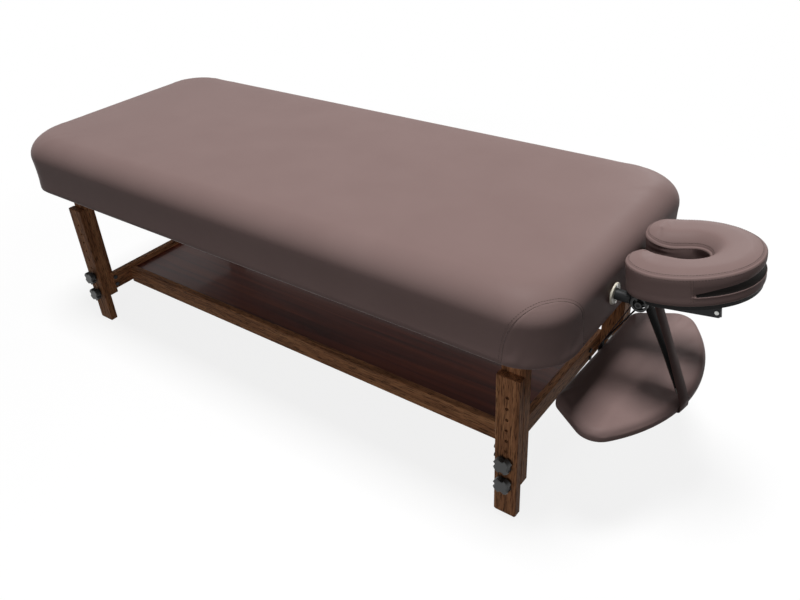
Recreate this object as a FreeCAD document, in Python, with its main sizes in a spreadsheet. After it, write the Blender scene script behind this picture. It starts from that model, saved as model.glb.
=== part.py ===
import FreeCAD, Part
import math
import os
import Sketcher

# Stationary treatment table: upholstered top on four telescoping legs, a shelf between the
# stretchers, a tilting headrest on two posts and an arm shelf hung from the headrest.
# Millimetres, +Z up, +X towards the headrest, the origin on the floor under the middle.

doc = FreeCAD.newDocument("treatment_table")
dims = doc.addObject("Spreadsheet::Sheet", "dims")

sizes = {
    # Upholstered top
    "pad_length": 1850,
    "pad_width": 760,
    "pad_underside": 498,
    "pad_side": 85,
    "pad_roll": 85,
    "pad_crown": 9,
    "pad_corner": 115,
    "pad_hem_round": 12,
    "pad_side_draw": 2,
    "cover_skin": 2,
    "cover_hem": 34,
    "foam_clearance": 0.3,
    # Frame box under the foam
    "apron_setback": 14,
    "apron_thick": 20,
    "apron_height": 90,
    "deck_thick": 12,
    "rib_thick": 20,
    "rib_height": 60,
    "rib_pitch": 330,
    "bearer_height": 62,
    "edge_ease": 1.5,
    # Legs
    "leg_end_inset": 101,
    "leg_side_inset": 61,
    "leg_wide": 60,
    "outer_leg_thick": 23,
    "inner_leg_thick": 29,
    "leg_gap": 0.2,
    "outer_leg_top": 419,
    "inner_leg_foot": 92,
    "leg_foot_chamfer": 4,
    "leg_holes": 9,
    "leg_hole_pitch": 32,
    "leg_hole_drop": 55,
    "leg_hole_bore": 9,
    "leg_knob_steps": 2,
    # Leg bolts and knobs
    "leg_bolt": 8,
    "bolt_fit": 0.05,
    "bolt_head_wide": 18,
    "bolt_head_thick": 4,
    "washer_wide": 22,
    "washer_thick": 1.6,
    "leg_knob_wide": 44,
    "leg_knob_thick": 21,
    "leg_knob_neck": 6,
    "leg_knob_hub": 20,
    "leg_knob_cap": 4,
    "leg_knob_lobes": 4,
    "leg_knob_scallop": 15,
    "leg_knob_bite": 6,
    "knob_gap": 0.2,
    # Stretchers, rails and shelf
    "stretcher_thick": 20,
    "stretcher_setback": 14,
    "stretcher_bottom": 119,
    "stretcher_height": 57,
    "rail_spacing": 404,
    "rail_thick": 20,
    "rail_bottom": 112,
    "rail_height": 56,
    "panel_thick": 10,
    "panel_drop": 9,
    "panel_groove": 6,
    "panel_fit": 0.2,
    "frame_screw": 6,
    "frame_screw_head": 13,
    "frame_screw_cap": 4,
    "frame_screw_bite": 40,
    "frame_screw_edge": 15,
    # Headrest posts and pivot
    "headrest_reach": 270,
    "pivot_reach": 61,
    "post_rise": 62,
    "post_height": "=pad_underside + post_rise",
    "post_spacing": 194,
    "post_wide": 25,
    "post_wall": 2.5,
    "post_depth": 136,
    "post_fit": 0.08,
    "post_pin": 5,
    "post_pin_proud": 1,
    "guide_thick": 24,
    "guide_height": 66,
    "guide_margin": 40,
    "guide_inset": 118,
    "grommet_wide": 50,
    "grommet_flange": 4,
    "grommet_wall": 3,
    "grommet_round": 2.5,
    "grommet_fit": 0.3,
    "grommet_screw": 3.5,
    "grommet_screw_head": 7,
    "grommet_screw_cap": 1.6,
    "crossbar_wide": 22,
    "pivot_rod": 8,
    "pivot_gap": 0.2,
    "lug_thick": 12,
    "lug_neck": 24,
    "rod_nut": 14,
    "rod_nut_thick": 7,
    "headrest_knob_wide": 37,
    "headrest_knob_thick": 9,
    "headrest_knob_rim": 5,
    "headrest_knob_web": 4,
    "headrest_knob_hub": 15,
    "headrest_knob_boss": 14,
    "headrest_knob_spokes": 5,
    "headrest_knob_spoke": 5,
    # Headrest arms, platform and face cushion
    "headrest_tilt": 8,
    "arm_length": 153,
    "arm_end": 7.5,
    "arm_end_round": 6,
    "arm_height": 24,
    "arm_thick": 5,
    "arm_rivet": 6,
    "arm_rivet_head": 9,
    "arm_rivet_cap": 2,
    "cleat_long": 15,
    "cleat_wide": 22,
    "cleat_thick": 3,
    "cleat_inset": 42,
    "cleat_screw_in": 14,
    "cleat_screw": 4,
    "cleat_screw_bite": 6,
    "cleat_screw_head": 8,
    "cleat_screw_cap": 2,
    "platform_lift": 17,
    "platform_thick": 9,
    "platform_inset": 6,
    "platform_start": 22,
    "platform_slot": 88,
    "cushion_gap": 8,
    "cushion_length": "=headrest_reach - cushion_gap",
    "cushion_far_radius": 129,
    "cushion_side_radius": 178,
    "cushion_tip_radius": 60,
    "cushion_tip_side": 74,
    "cushion_corner_radius": 40,
    "cushion_slot": 44,
    "cushion_hole_radius": 36,
    "cushion_hole_in": 117,
    "cushion_turn": 5,
    "cushion_band": 66,
    "cushion_crown": 11,
    "cushion_bulge": 2,
    "cushion_crown_inset": 30,
    # Hanging arm shelf
    "arm_shelf_bottom": 284,
    "arm_shelf_front": 117,
    "arm_shelf_rear": -133,
    "arm_shelf_shift": 8,
    "arm_shelf_yaw": -1.8,
    "arm_board_thick": 12,
    "arm_board_inset": 2,
    "arm_pad_thick": 18,
    "arm_pad_roll": 9,
    "arm_pad_crown": 3,
    "arm_pad_crown_in": 24,
    "arm_pad_tuck": 1,
    "arm_corner_x": -17,
    "arm_corner_y": 218,
    "arm_corner_radius": 55,
    "arm_rear_y": 190,
    "arm_rear_radius": 36,
    "strap_wide": 36,
    "strap_thick": 3,
    "strap_offset": 54,
    "strap_bow": 2.6,
    "strap_gap": 0.3,
    "strap_edge_gap": 0.8,
    "strap_tail": 40,
    "strap_seam": 30,
    "strap_tab": 14,
    "strap_tab_thick": 1.5,
}

for row, (alias, value) in enumerate(sizes.items(), 1):
    dims.set(f"A{row}", alias)
    dims.set(f"B{row}", str(value))
    dims.setAlias(f"B{row}", alias)
doc.recompute()

nodes = []


def number(formula):
    return float(dims.evalExpression(formula))


# Places that several pieces share, as formulas of the sheet
pad_x = "(-dims.headrest_reach / 2)"
pad_head = f"({pad_x} + dims.pad_length / 2)"
pad_roll_z = "(dims.pad_underside + dims.pad_side)"
box_z = "(dims.pad_underside + dims.cover_skin)"
deck_z = f"({box_z} + dims.apron_height)"
box_half_long = "(dims.pad_length / 2 - dims.apron_setback)"
box_half_wide = "(dims.pad_width / 2 - dims.apron_setback)"
box_corner = "(dims.pad_corner - dims.apron_setback)"
box_inner_wide = f"({box_half_wide} - dims.apron_thick)"
leg_outer_x = "(dims.pad_length / 2 - dims.leg_end_inset)"
leg_middle_x = f"({leg_outer_x} - dims.leg_wide / 2)"
leg_inner_x = f"({leg_outer_x} - dims.leg_wide)"
cross_inner_x = f"({leg_inner_x} - dims.stretcher_thick)"
leg_face_y = "(dims.pad_width / 2 - dims.leg_side_inset)"
inner_leg_face_y = f"({leg_face_y} - dims.outer_leg_thick - dims.leg_gap)"
inner_leg_back_y = f"({inner_leg_face_y} - dims.inner_leg_thick)"
inner_leg_middle_y = f"({inner_leg_face_y} - dims.inner_leg_thick / 2)"
stretcher_half = f"({inner_leg_face_y} - dims.stretcher_setback)"
stretcher_lap_y = f"(({stretcher_half} + {inner_leg_back_y}) / 2)"
low_bolt_z = "(dims.outer_leg_top - dims.leg_hole_drop - (dims.leg_holes - 1) * dims.leg_hole_pitch)"
high_bolt_z = f"({low_bolt_z} + dims.leg_knob_steps * dims.leg_hole_pitch)"
panel_top = "(dims.rail_bottom + dims.rail_height - dims.panel_drop)"
pivot_x = f"({pad_head} + dims.pivot_reach)"
post_y = "(dims.post_spacing / 2)"
sleeve_wide = "(dims.post_wide + 2 * dims.post_fit + 2 * dims.grommet_wall)"
lug_inner_y = f"({post_y} - dims.lug_thick / 2)"
lug_outer_y = f"({post_y} + dims.lug_thick / 2)"
arm_outer_y = f"({lug_inner_y} - dims.pivot_gap)"
arm_inner_y = f"({arm_outer_y} - dims.arm_thick)"
crossbar_half = f"({arm_inner_y} - dims.pivot_gap)"
platform_top = "(dims.platform_lift + dims.platform_thick)"
cushion_far = (
    f"((dims.headrest_reach - dims.pivot_reach + ({platform_top} + dims.cushion_band / 3)"
    " * sin(dims.headrest_tilt)) / cos(dims.headrest_tilt))"
)
arm_pad_z = "(dims.arm_shelf_bottom + dims.arm_board_thick)"
arm_pad_top = f"({arm_pad_z} + dims.arm_pad_thick + dims.arm_pad_crown)"

corners = {
    "head_near": (1, -1),
    "head_far": (1, 1),
    "foot_near": (-1, -1),
    "foot_far": (-1, 1),
}
turns = {
    "+x": FreeCAD.Rotation(FreeCAD.Vector(0, 1, 0), 90),
    "-x": FreeCAD.Rotation(FreeCAD.Vector(0, 1, 0), -90),
    "+y": FreeCAD.Rotation(FreeCAD.Vector(1, 0, 0), -90),
    "-y": FreeCAD.Rotation(FreeCAD.Vector(1, 0, 0), 90),
    "+z": FreeCAD.Rotation(),
    "-z": FreeCAD.Rotation(FreeCAD.Vector(1, 0, 0), 180),
}


def place(thing, x, y, z, turn="+z"):
    thing.Placement = FreeCAD.Placement(FreeCAD.Vector(), turns[turn])
    thing.setExpression("Placement.Base.x", x)
    thing.setExpression("Placement.Base.y", y)
    thing.setExpression("Placement.Base.z", z)
    return thing


def node(thing, label):
    thing.Label = label
    nodes.append(thing)
    return thing


def block(name, long, wide, tall, x, y, z):
    box = doc.addObject("Part::Box", name)
    box.setExpression("Length", long)
    box.setExpression("Width", wide)
    box.setExpression("Height", tall)
    return place(box, x, y, z)


def eased(name, box):
    # Timber edges are broken with a small chamfer all round
    ease = number("dims.edge_ease")
    chamfer = doc.addObject("Part::Chamfer", name)
    chamfer.Base = box
    chamfer.Edges = [(edge, ease, ease) for edge in range(1, 13)]
    return chamfer


def rod(name, wide, long, x, y, z, turn):
    cylinder = doc.addObject("Part::Cylinder", name)
    cylinder.setExpression("Radius", f"({wide}) / 2")
    cylinder.setExpression("Height", long)
    return place(cylinder, x, y, z, turn)


def joined(name, shapes):
    fuse = doc.addObject("Part::MultiFuse", name)
    fuse.Shapes = shapes
    return fuse


def cut(name, base, tools):
    whole = tools[0] if len(tools) == 1 else joined(name + "_tools", tools)
    result = doc.addObject("Part::Cut", name)
    result.Base = base
    result.Tool = whole
    return result


def group(name, shapes):
    compound = doc.addObject("Part::Compound", name)
    compound.Links = shapes
    return compound


def screw(name, shank, bite, head, cap, x, y, z, turn):
    # The head's seat is at the given place, the shank goes along the turn and the cap stands behind it
    opposite = {"+": "-", "-": "+"}[turn[0]] + turn[1]
    shaft = rod(name + "_shank", shank, bite, x, y, z, turn)
    top = rod(name + "_head", head, cap, x, y, z, opposite)
    return joined(name, [shaft, top])


def sketch_on(body, role, name):
    sketch = body.newObject("Sketcher::SketchObject", name)
    plane = next(feature for feature in body.Origin.OriginFeatures if feature.Role == role)
    sketch.AttachmentSupport = [(plane, "")]
    sketch.MapMode = "FlatFace"
    return sketch


def pin_point(sketch, edge, end, x, y):
    # Hold one point of the sketch at formulas for its two coordinates
    for kind, axis, formula in (("DistanceX", -2, x), ("DistanceY", -1, y)):
        if formula == "0":
            sketch.addConstraint(Sketcher.Constraint("PointOnObject", edge, end, axis))
        else:
            held = sketch.addConstraint(Sketcher.Constraint(kind, -1, 1, edge, end, number(formula)))
            sketch.setExpression(f"Constraints[{held}]", formula)


def polygon(sketch, points):
    spots = [FreeCAD.Vector(number(x), number(y), 0) for x, y in points]
    count = len(spots)
    for start, end in zip(spots, spots[1:] + spots[:1]):
        sketch.addGeometry(Part.LineSegment(start, end))
    for edge in range(count):
        sketch.addConstraint(Sketcher.Constraint("Coincident", edge, 2, (edge + 1) % count, 1))
    for edge, (x, y) in enumerate(points):
        pin_point(sketch, edge, 1, x, y)


def circle(sketch, x, y, wide):
    middle = FreeCAD.Vector(number(x), number(y), 0)
    radius = number(f"({wide}) / 2")
    ring = sketch.addGeometry(Part.Circle(middle, FreeCAD.Vector(0, 0, 1), radius))
    pin_point(sketch, ring, 3, x, y)
    held = sketch.addConstraint(Sketcher.Constraint("Radius", ring, radius))
    sketch.setExpression(f"Constraints[{held}]", f"({wide}) / 2")


def feature(body, kind, name, sketch, length=None, both_ways=False):
    made = body.newObject("PartDesign::" + kind, name)
    made.Profile = sketch
    made.Midplane = both_ways
    if length is None:
        made.Type = "ThroughAll"
    else:
        made.setExpression("Length", length)
    return made


def edge_names(shape, wanted):
    return [f"Edge{count}" for count, edge in enumerate(shape.Edges, 1) if wanted(edge)]


def formed(name, shape):
    # A free form that no sketch feature gives
    thing = doc.addObject("Part::Feature", name)
    thing.Shape = shape
    return thing


def arc(middle, radius, start, end, height):
    # Arc between two directions in degrees, in a level plane
    spots = []
    for degrees in (start, (start + end) / 2, end):
        angle = math.radians(degrees)
        spots.append(FreeCAD.Vector(
            middle[0] + radius * math.cos(angle), middle[1] + radius * math.sin(angle), height))
    return Part.Arc(*spots).toShape()


def line(start, end):
    return Part.makeLine(start.Vertexes[-1].Point, end.Vertexes[0].Point)


def ring_of(arcs):
    # Close a run of arcs with straight lines wherever one arc does not start on the last one's end
    edges = []
    for count, piece in enumerate(arcs):
        follower = arcs[(count + 1) % len(arcs)]
        edges.append(piece)
        gap = piece.Vertexes[-1].Point.distanceToPoint(follower.Vertexes[0].Point)
        if gap > 0.001:
            edges.append(line(piece, follower))
    return Part.Wire(edges)


# Upholstered top

def pad_outline(inset, height):
    # Rounded rectangle, drawn in by an inset, at one height
    half_long = number("dims.pad_length") / 2 - inset
    half_wide = number("dims.pad_width") / 2 - inset
    radius = max(number("dims.pad_corner") - inset, number("dims.pad_hem_round"))
    middle_x = number(pad_x)
    arcs = []
    for quarter, (side_x, side_y) in enumerate(((1, 1), (-1, 1), (-1, -1), (1, -1))):
        centre = (middle_x + side_x * (half_long - radius), side_y * (half_wide - radius))
        arcs.append(arc(centre, radius, 90 * quarter, 90 * quarter + 90, height))
    return ring_of(arcs)


def pad_form(skin):
    # Drawn-in sides, a rolled top edge and a crown, all moved inwards by the skin
    under = number("dims.pad_underside")
    hem = number("dims.pad_hem_round")
    roll = number("dims.pad_roll")
    roll_z = number(pad_roll_z)
    draw = number("dims.pad_side_draw")
    crown = number("dims.pad_crown")
    middle = number("dims.pad_width") / 2
    sections = [(hem * 0.6, under + skin), (0, under + hem), (draw, (under + hem + roll_z) / 2), (0, roll_z)]
    for step in range(1, 6):
        angle = math.radians(18 * step)
        lift = (roll - skin) * math.sin(angle)
        sections.append((roll - (roll - skin) * math.cos(angle) - skin, roll_z + lift))
    edge_in, edge_z = sections.pop()
    for share in (0.0, 0.25, 0.5):
        rise = crown * math.sin(math.pi * share)
        sections.append((edge_in + (middle - edge_in) * share * 1.6, edge_z + rise))
    wires = [pad_outline(inset + skin, height) for inset, height in sections]
    return Part.makeLoft(wires, True, True)


def post_bores(wide):
    bores = []
    for side in (-1, 1):
        start = FreeCAD.Vector(number(pivot_x), side * number(post_y), number("dims.post_height"))
        reach = number("dims.pivot_reach + dims.apron_setback + dims.apron_thick")
        bores.append(Part.makeCylinder(number(wide) / 2, reach, start, FreeCAD.Vector(-1, 0, 0)))
    return bores


def frame_box():
    # The room that the aprons, corner blocks and deck take inside the foam
    gap = number("dims.foam_clearance")
    outline = pad_outline(number("dims.apron_setback") - gap, number("dims.pad_underside"))
    tall = number(f"{deck_z} + dims.deck_thick - dims.pad_underside") + gap
    return Part.Face(outline).extrude(FreeCAD.Vector(0, 0, tall))


sleeve_room = f"({sleeve_wide} + 2 * dims.grommet_fit)"
foam_skin = number("dims.cover_skin + dims.foam_clearance")
foam = pad_form(foam_skin).cut([frame_box()] + post_bores(sleeve_room))
node(formed("foam_core", foam), "foam_core")

hem_hole = Part.Face(pad_outline(number("dims.cover_hem"), 0)).extrude(FreeCAD.Vector(0, 0, number(box_z)))
skin = pad_form(0).cut([pad_form(number("dims.cover_skin")), hem_hole] + post_bores(sleeve_room))
node(formed("pad_cover", skin), "pad_cover")

# Frame box under the foam

deck_blank = block("deck_blank", f"2 * {box_half_long}", f"2 * {box_half_wide}", "dims.deck_thick",
                   f"{pad_x} - {box_half_long}", f"-{box_half_wide}", deck_z)
doc.recompute()
deck = doc.addObject("Part::Fillet", "deck_panel")
deck.Base = deck_blank
corner_round = number(box_corner)
upright = [edge for edge, curve in enumerate(deck_blank.Shape.Edges, 1)
           if abs(curve.tangentAt(curve.FirstParameter).z) > 0.5]
deck.Edges = [(edge, corner_round, corner_round) for edge in upright]
node(deck, "deck_panel")

apron_long = f"2 * ({box_half_long} - {box_corner})"
apron_wide = f"2 * ({box_half_wide} - {box_corner})"
for label, start_y in (("apron_near", f"-{box_half_wide}"), ("apron_far", box_inner_wide)):
    node(block(label, apron_long, "dims.apron_thick", "dims.apron_height",
               f"{pad_x} - ({apron_long}) / 2", start_y, box_z), label)
node(block("apron_foot", "dims.apron_thick", apron_wide, "dims.apron_height",
           f"{pad_x} - {box_half_long}", f"-({apron_wide}) / 2", box_z), "apron_foot")
head_blank = block("apron_head_blank", "dims.apron_thick", apron_wide, "dims.apron_height",
                   f"{pad_x} + {box_half_long} - dims.apron_thick", f"-({apron_wide}) / 2", box_z)
sleeve_bores = [rod(f"apron_head_bore_{side}", f"{sleeve_wide} + 2 * dims.bolt_fit", "2 * dims.apron_thick",
                    f"{pad_x} + {box_half_long} + dims.apron_thick / 2", f"{side} * {post_y}",
                    "dims.post_height", "-x") for side in (-1, 1)]
node(cut("apron_head", head_blank, sleeve_bores), "apron_head")

corner_blocks = []
for place_name, (end, side) in corners.items():
    centre_x = f"{pad_x} + {end} * ({box_half_long} - {box_corner})"
    centre_y = f"{side} * ({box_half_wide} - {box_corner})"
    quarter = doc.addObject("Part::Cylinder", "corner_" + place_name)
    quarter.setExpression("Radius", box_corner)
    quarter.setExpression("Height", "dims.apron_height")
    quarter.Angle = 90
    place(quarter, centre_x, centre_y, box_z)
    start = {(1, 1): 0, (-1, 1): 90, (-1, -1): 180, (1, -1): 270}[(end, side)]
    quarter.Placement.Rotation = FreeCAD.Rotation(FreeCAD.Vector(0, 0, 1), start)
    hollow = rod("corner_hollow_" + place_name, f"2 * ({box_corner} - dims.apron_thick)", "dims.apron_height",
                 centre_x, centre_y, box_z, "+z")
    corner_blocks.append(cut("corner_block_" + place_name, quarter, [hollow]))
node(group("corner_blocks", corner_blocks), "corner_blocks")

ribs = [block(f"rib_{count}", "dims.rib_thick", f"2 * {box_inner_wide}", "dims.rib_height",
              f"{pad_x} + {count - 1} * dims.rib_pitch - dims.rib_thick / 2", f"-{box_inner_wide}",
              f"{deck_z} - dims.rib_height") for count in range(3)]
node(group("deck_ribs", ribs), "deck_ribs")

# Inner legs, leg bearers and stretchers

screw_bore = "(dims.frame_screw + 2 * dims.bolt_fit)"
stretcher_rows = ["dims.stretcher_bottom + dims.frame_screw_edge",
                  "dims.stretcher_bottom + dims.stretcher_height - dims.frame_screw_edge"]
bearer_rows = [f"{deck_z} - dims.bearer_height + dims.frame_screw_edge", f"{deck_z} - dims.frame_screw_edge"]
rail_rows = ["dims.rail_bottom + dims.frame_screw_edge",
             "dims.rail_bottom + dims.rail_height - dims.frame_screw_edge"]
cross_reach = "(dims.stretcher_thick + dims.frame_screw_bite)"


def end_x(end, place_x):
    return f"{pad_x} + {end} * {place_x}"


def lower_x(end, near_middle, far_out):
    # Lowest X of a piece that lies between two distances from the middle of the top
    return end_x(end, near_middle if end > 0 else far_out)


cross_screws = {"stretcher_screws": [], "bearer_screws": []}
for place_name, (end, side) in corners.items():
    label = "inner_leg_" + place_name
    foot_y = inner_leg_back_y if side > 0 else f"-{inner_leg_face_y}"
    tall = f"{deck_z} - dims.inner_leg_foot"
    stick = block(label + "_blank", "dims.leg_wide", "dims.inner_leg_thick", tall,
                  lower_x(end, leg_inner_x, leg_outer_x), foot_y, "dims.inner_leg_foot")
    turn = "+x" if end > 0 else "-x"
    bores = []
    for count, height in enumerate((low_bolt_z, high_bolt_z)):
        bores.append(rod(f"{label}_bolt_bore_{count}", "dims.leg_bolt + 2 * dims.bolt_fit",
                         "dims.inner_leg_thick", end_x(end, leg_middle_x), foot_y, height, "+y"))
    for kind, rows, lap in (("stretcher_screws", stretcher_rows, stretcher_lap_y),
                            ("bearer_screws", bearer_rows, inner_leg_middle_y)):
        for count, height in enumerate(rows):
            seat = (end_x(end, cross_inner_x), f"{side} * {lap}", height, turn)
            bores.append(rod(f"{label}_{kind}_bore_{count}", screw_bore, cross_reach, *seat))
            cross_screws[kind].append(screw(f"{kind}_{place_name}_{count}", "dims.frame_screw", cross_reach,
                                            "dims.frame_screw_head", "dims.frame_screw_cap", *seat))
    node(cut(label, eased(label + "_eased", stick), bores), label)
for kind, screws in cross_screws.items():
    node(group(kind, screws), kind)

rail_screws = []
for end_name, end in (("head", 1), ("foot", -1)):
    turn = "+x" if end > 0 else "-x"
    inwards = "-x" if end > 0 else "+x"
    span = lower_x(end, cross_inner_x, leg_inner_x)
    for label, half, lap, bottom, tall, rows, smooth in (
            ("leg_bearer_" + end_name, box_inner_wide, inner_leg_middle_y, f"{deck_z} - dims.bearer_height",
             "dims.bearer_height", bearer_rows, False),
            ("stretcher_" + end_name, stretcher_half, stretcher_lap_y, "dims.stretcher_bottom",
             "dims.stretcher_height", stretcher_rows, True)):
        bar = block(label + "_blank", "dims.stretcher_thick", f"2 * {half}", tall, span, f"-{half}", bottom)
        bores = []
        for side in (-1, 1):
            for count, height in enumerate(rows):
                bores.append(rod(f"{label}_bore_{side}_{count}", screw_bore, "dims.stretcher_thick",
                                 end_x(end, cross_inner_x), f"{side} * {lap}", height, turn))
            for count, height in enumerate(rail_rows if smooth else []):
                seat = (end_x(end, leg_inner_x), f"{side} * dims.rail_spacing / 2", height, inwards)
                bores.append(rod(f"{label}_rail_bore_{side}_{count}", screw_bore, cross_reach, *seat))
                name = f"rail_screw_{end_name}_{side}_{count}"
                rail_screws.append(screw(name, "dims.frame_screw", cross_reach, "dims.frame_screw_head",
                                         "dims.frame_screw_cap", *seat))
        node(cut(label, eased(label + "_eased", bar) if smooth else bar, bores), label)
node(group("rail_screws", rail_screws), "rail_screws")

# Shelf rails and panel between the stretchers

panel_half = "(dims.rail_spacing / 2 - dims.rail_thick / 2 + dims.panel_groove)"
for label, side in (("shelf_rail_near", -1), ("shelf_rail_far", 1)):
    rail = block(label + "_blank", f"2 * {cross_inner_x}", "dims.rail_thick", "dims.rail_height",
                 f"{pad_x} - {cross_inner_x}", f"{side} * dims.rail_spacing / 2 - dims.rail_thick / 2",
                 "dims.rail_bottom")
    groove = block(label + "_groove", f"2 * {cross_inner_x}", f"2 * ({panel_half} + dims.panel_fit)",
                   "dims.panel_thick + 2 * dims.panel_fit", f"{pad_x} - {cross_inner_x}",
                   f"-({panel_half} + dims.panel_fit)", f"{panel_top} - dims.panel_thick - dims.panel_fit")
    tools = [groove]
    for end in (-1, 1):
        for count, height in enumerate(rail_rows):
            tools.append(rod(f"{label}_bore_{end}_{count}", screw_bore, cross_reach, end_x(end, leg_inner_x),
                             f"{side} * dims.rail_spacing / 2", height, "-x" if end > 0 else "+x"))
    node(cut(label, eased(label + "_eased", rail), tools), label)
node(block("shelf_panel", f"2 * {cross_inner_x}", f"2 * {panel_half}", "dims.panel_thick",
           f"{pad_x} - {cross_inner_x}", f"-{panel_half}", f"{panel_top} - dims.panel_thick"), "shelf_panel")

# Outer legs with their row of holes, and the bolts, washers and lobed knobs that hold them

leg_bolts = []
leg_washers = []


def outer_leg(label, end, side):
    body = doc.addObject("PartDesign::Body", label)
    half = "dims.leg_wide / 2"
    nip = "dims.leg_foot_chamfer"
    face = sketch_on(body, "XZ_Plane", label + "_face")
    polygon(face, [(f"-{half} + {nip}", "0"), (f"{half} - {nip}", "0"), (half, nip),
                   (half, "dims.outer_leg_top"), (f"-{half}", "dims.outer_leg_top"), (f"-{half}", nip)])
    stick = feature(body, "Pad", label + "_pad", face, "dims.outer_leg_thick", both_ways=True)
    doc.recompute()
    ease = body.newObject("PartDesign::Chamfer", label + "_ease")
    level = edge_names(body.Shape, lambda edge: abs(edge.tangentAt(edge.FirstParameter).y) < 0.5)
    ease.Base = (stick, level)
    ease.setExpression("Size", "dims.edge_ease")
    spot = sketch_on(body, "XZ_Plane", label + "_spot")
    circle(spot, "0", "dims.outer_leg_top - dims.leg_hole_drop", "dims.leg_hole_bore")
    hole = feature(body, "Pocket", label + "_hole", spot, both_ways=True)
    doc.recompute()
    row = body.newObject("PartDesign::LinearPattern", label + "_row")
    row.Originals = [hole]
    row.Direction = (spot, ["V_Axis"])
    row.Reversed = True
    row.setExpression("Length", "(dims.leg_holes - 1) * dims.leg_hole_pitch")
    row.setExpression("Occurrences", "dims.leg_holes")
    body.Tip = row
    place(body, end_x(end, leg_middle_x), f"{side} * ({leg_face_y} - dims.outer_leg_thick / 2)", "0")
    return node(body, label)


def leg_knob(label, x, y, z, turn):
    # Closed hand knob on the bolt: a thick lobed head that stands off the leg on a round neck
    body = doc.addObject("PartDesign::Body", label)
    head = sketch_on(body, "XY_Plane", label + "_head")
    circle(head, "0", "0", "dims.leg_knob_wide")
    feature(body, "Pad", label + "_head_pad", head, "dims.leg_knob_thick")
    dent = sketch_on(body, "XY_Plane", label + "_dent")
    circle(dent, "(dims.leg_knob_wide + dims.leg_knob_scallop) / 2 - dims.leg_knob_bite", "0",
           "dims.leg_knob_scallop")
    scallop = feature(body, "Pocket", label + "_scallop", dent, both_ways=True)
    doc.recompute()
    lobes = body.newObject("PartDesign::PolarPattern", label + "_lobes")
    lobes.Originals = [scallop]
    lobes.Axis = (dent, ["N_Axis"])
    lobes.Angle = 360
    lobes.setExpression("Occurrences", "dims.leg_knob_lobes")
    body.Tip = lobes
    doc.recompute()
    bead = body.newObject("PartDesign::Chamfer", label + "_bead")
    crest = number("dims.leg_knob_thick")
    bead.Base = (lobes, edge_names(body.Shape, lambda edge: abs(edge.CenterOfMass.z - crest) < 0.01))
    bead.setExpression("Size", "dims.edge_ease")
    neck = sketch_on(body, "XY_Plane", label + "_neck")
    circle(neck, "0", "0", "2 * dims.leg_knob_wide")
    circle(neck, "0", "0", "dims.leg_knob_hub")
    feature(body, "Pocket", label + "_neck_cut", neck, "2 * dims.leg_knob_neck", both_ways=True)
    eye = sketch_on(body, "XY_Plane", label + "_eye")
    circle(eye, "0", "0", "dims.leg_bolt + 2 * dims.bolt_fit")
    deep = "2 * (dims.leg_knob_thick - dims.leg_knob_cap)"
    feature(body, "Pocket", label + "_bore", eye, deep, both_ways=True)
    place(body, x, y, z, turn)
    return node(body, label)


for place_name, (end, side) in corners.items():
    outer_leg("outer_leg_" + place_name, end, side)
    outwards = "+y" if side > 0 else "-y"
    middle = end_x(end, leg_middle_x)
    washer_y = f"{side} * ({leg_face_y} + dims.knob_gap)"
    knob_y = f"{side} * ({leg_face_y} + 2 * dims.knob_gap + dims.washer_thick)"
    held = "dims.inner_leg_thick + dims.leg_gap + dims.outer_leg_thick + 2 * dims.knob_gap"
    shank = f"{held} + dims.washer_thick + dims.leg_knob_thick - dims.leg_knob_cap - dims.edge_ease"
    for row_name, height in (("lower", low_bolt_z), ("upper", high_bolt_z)):
        name = f"{place_name}_{row_name}"
        leg_bolts.append(screw("leg_bolt_" + name, "dims.leg_bolt", shank, "dims.bolt_head_wide",
                               "dims.bolt_head_thick", middle, f"{side} * {inner_leg_back_y}", height,
                               outwards))
        spot = (middle, washer_y, height, outwards)
        disc = rod("washer_disc_" + name, "dims.washer_wide", "dims.washer_thick", *spot)
        eye = rod("washer_eye_" + name, "dims.leg_bolt + 2 * dims.bolt_fit", "dims.washer_thick", *spot)
        leg_washers.append(cut("washer_" + name, disc, [eye]))
        leg_knob("leg_knob_" + name, middle, knob_y, height, outwards)
node(group("leg_bolts", leg_bolts), "leg_bolts")
node(group("leg_washers", leg_washers), "leg_washers")

# Headrest posts, their guide rail and grommets

guide_half = f"({post_y} + dims.guide_margin)"
guide_x = f"({pad_head} - dims.guide_inset - dims.guide_thick)"
guide_blank = block("post_guide_blank", "dims.guide_thick", f"2 * {guide_half}", "dims.guide_height",
                    guide_x, f"-{guide_half}", f"{deck_z} - dims.guide_height")
guide_bores = [rod(f"post_guide_bore_{side}", "dims.post_wide + 2 * dims.post_fit", "dims.guide_thick",
                   guide_x, f"{side} * {post_y}", "dims.post_height", "+x") for side in (-1, 1)]
node(cut("post_guide", guide_blank, guide_bores), "post_guide")

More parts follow.
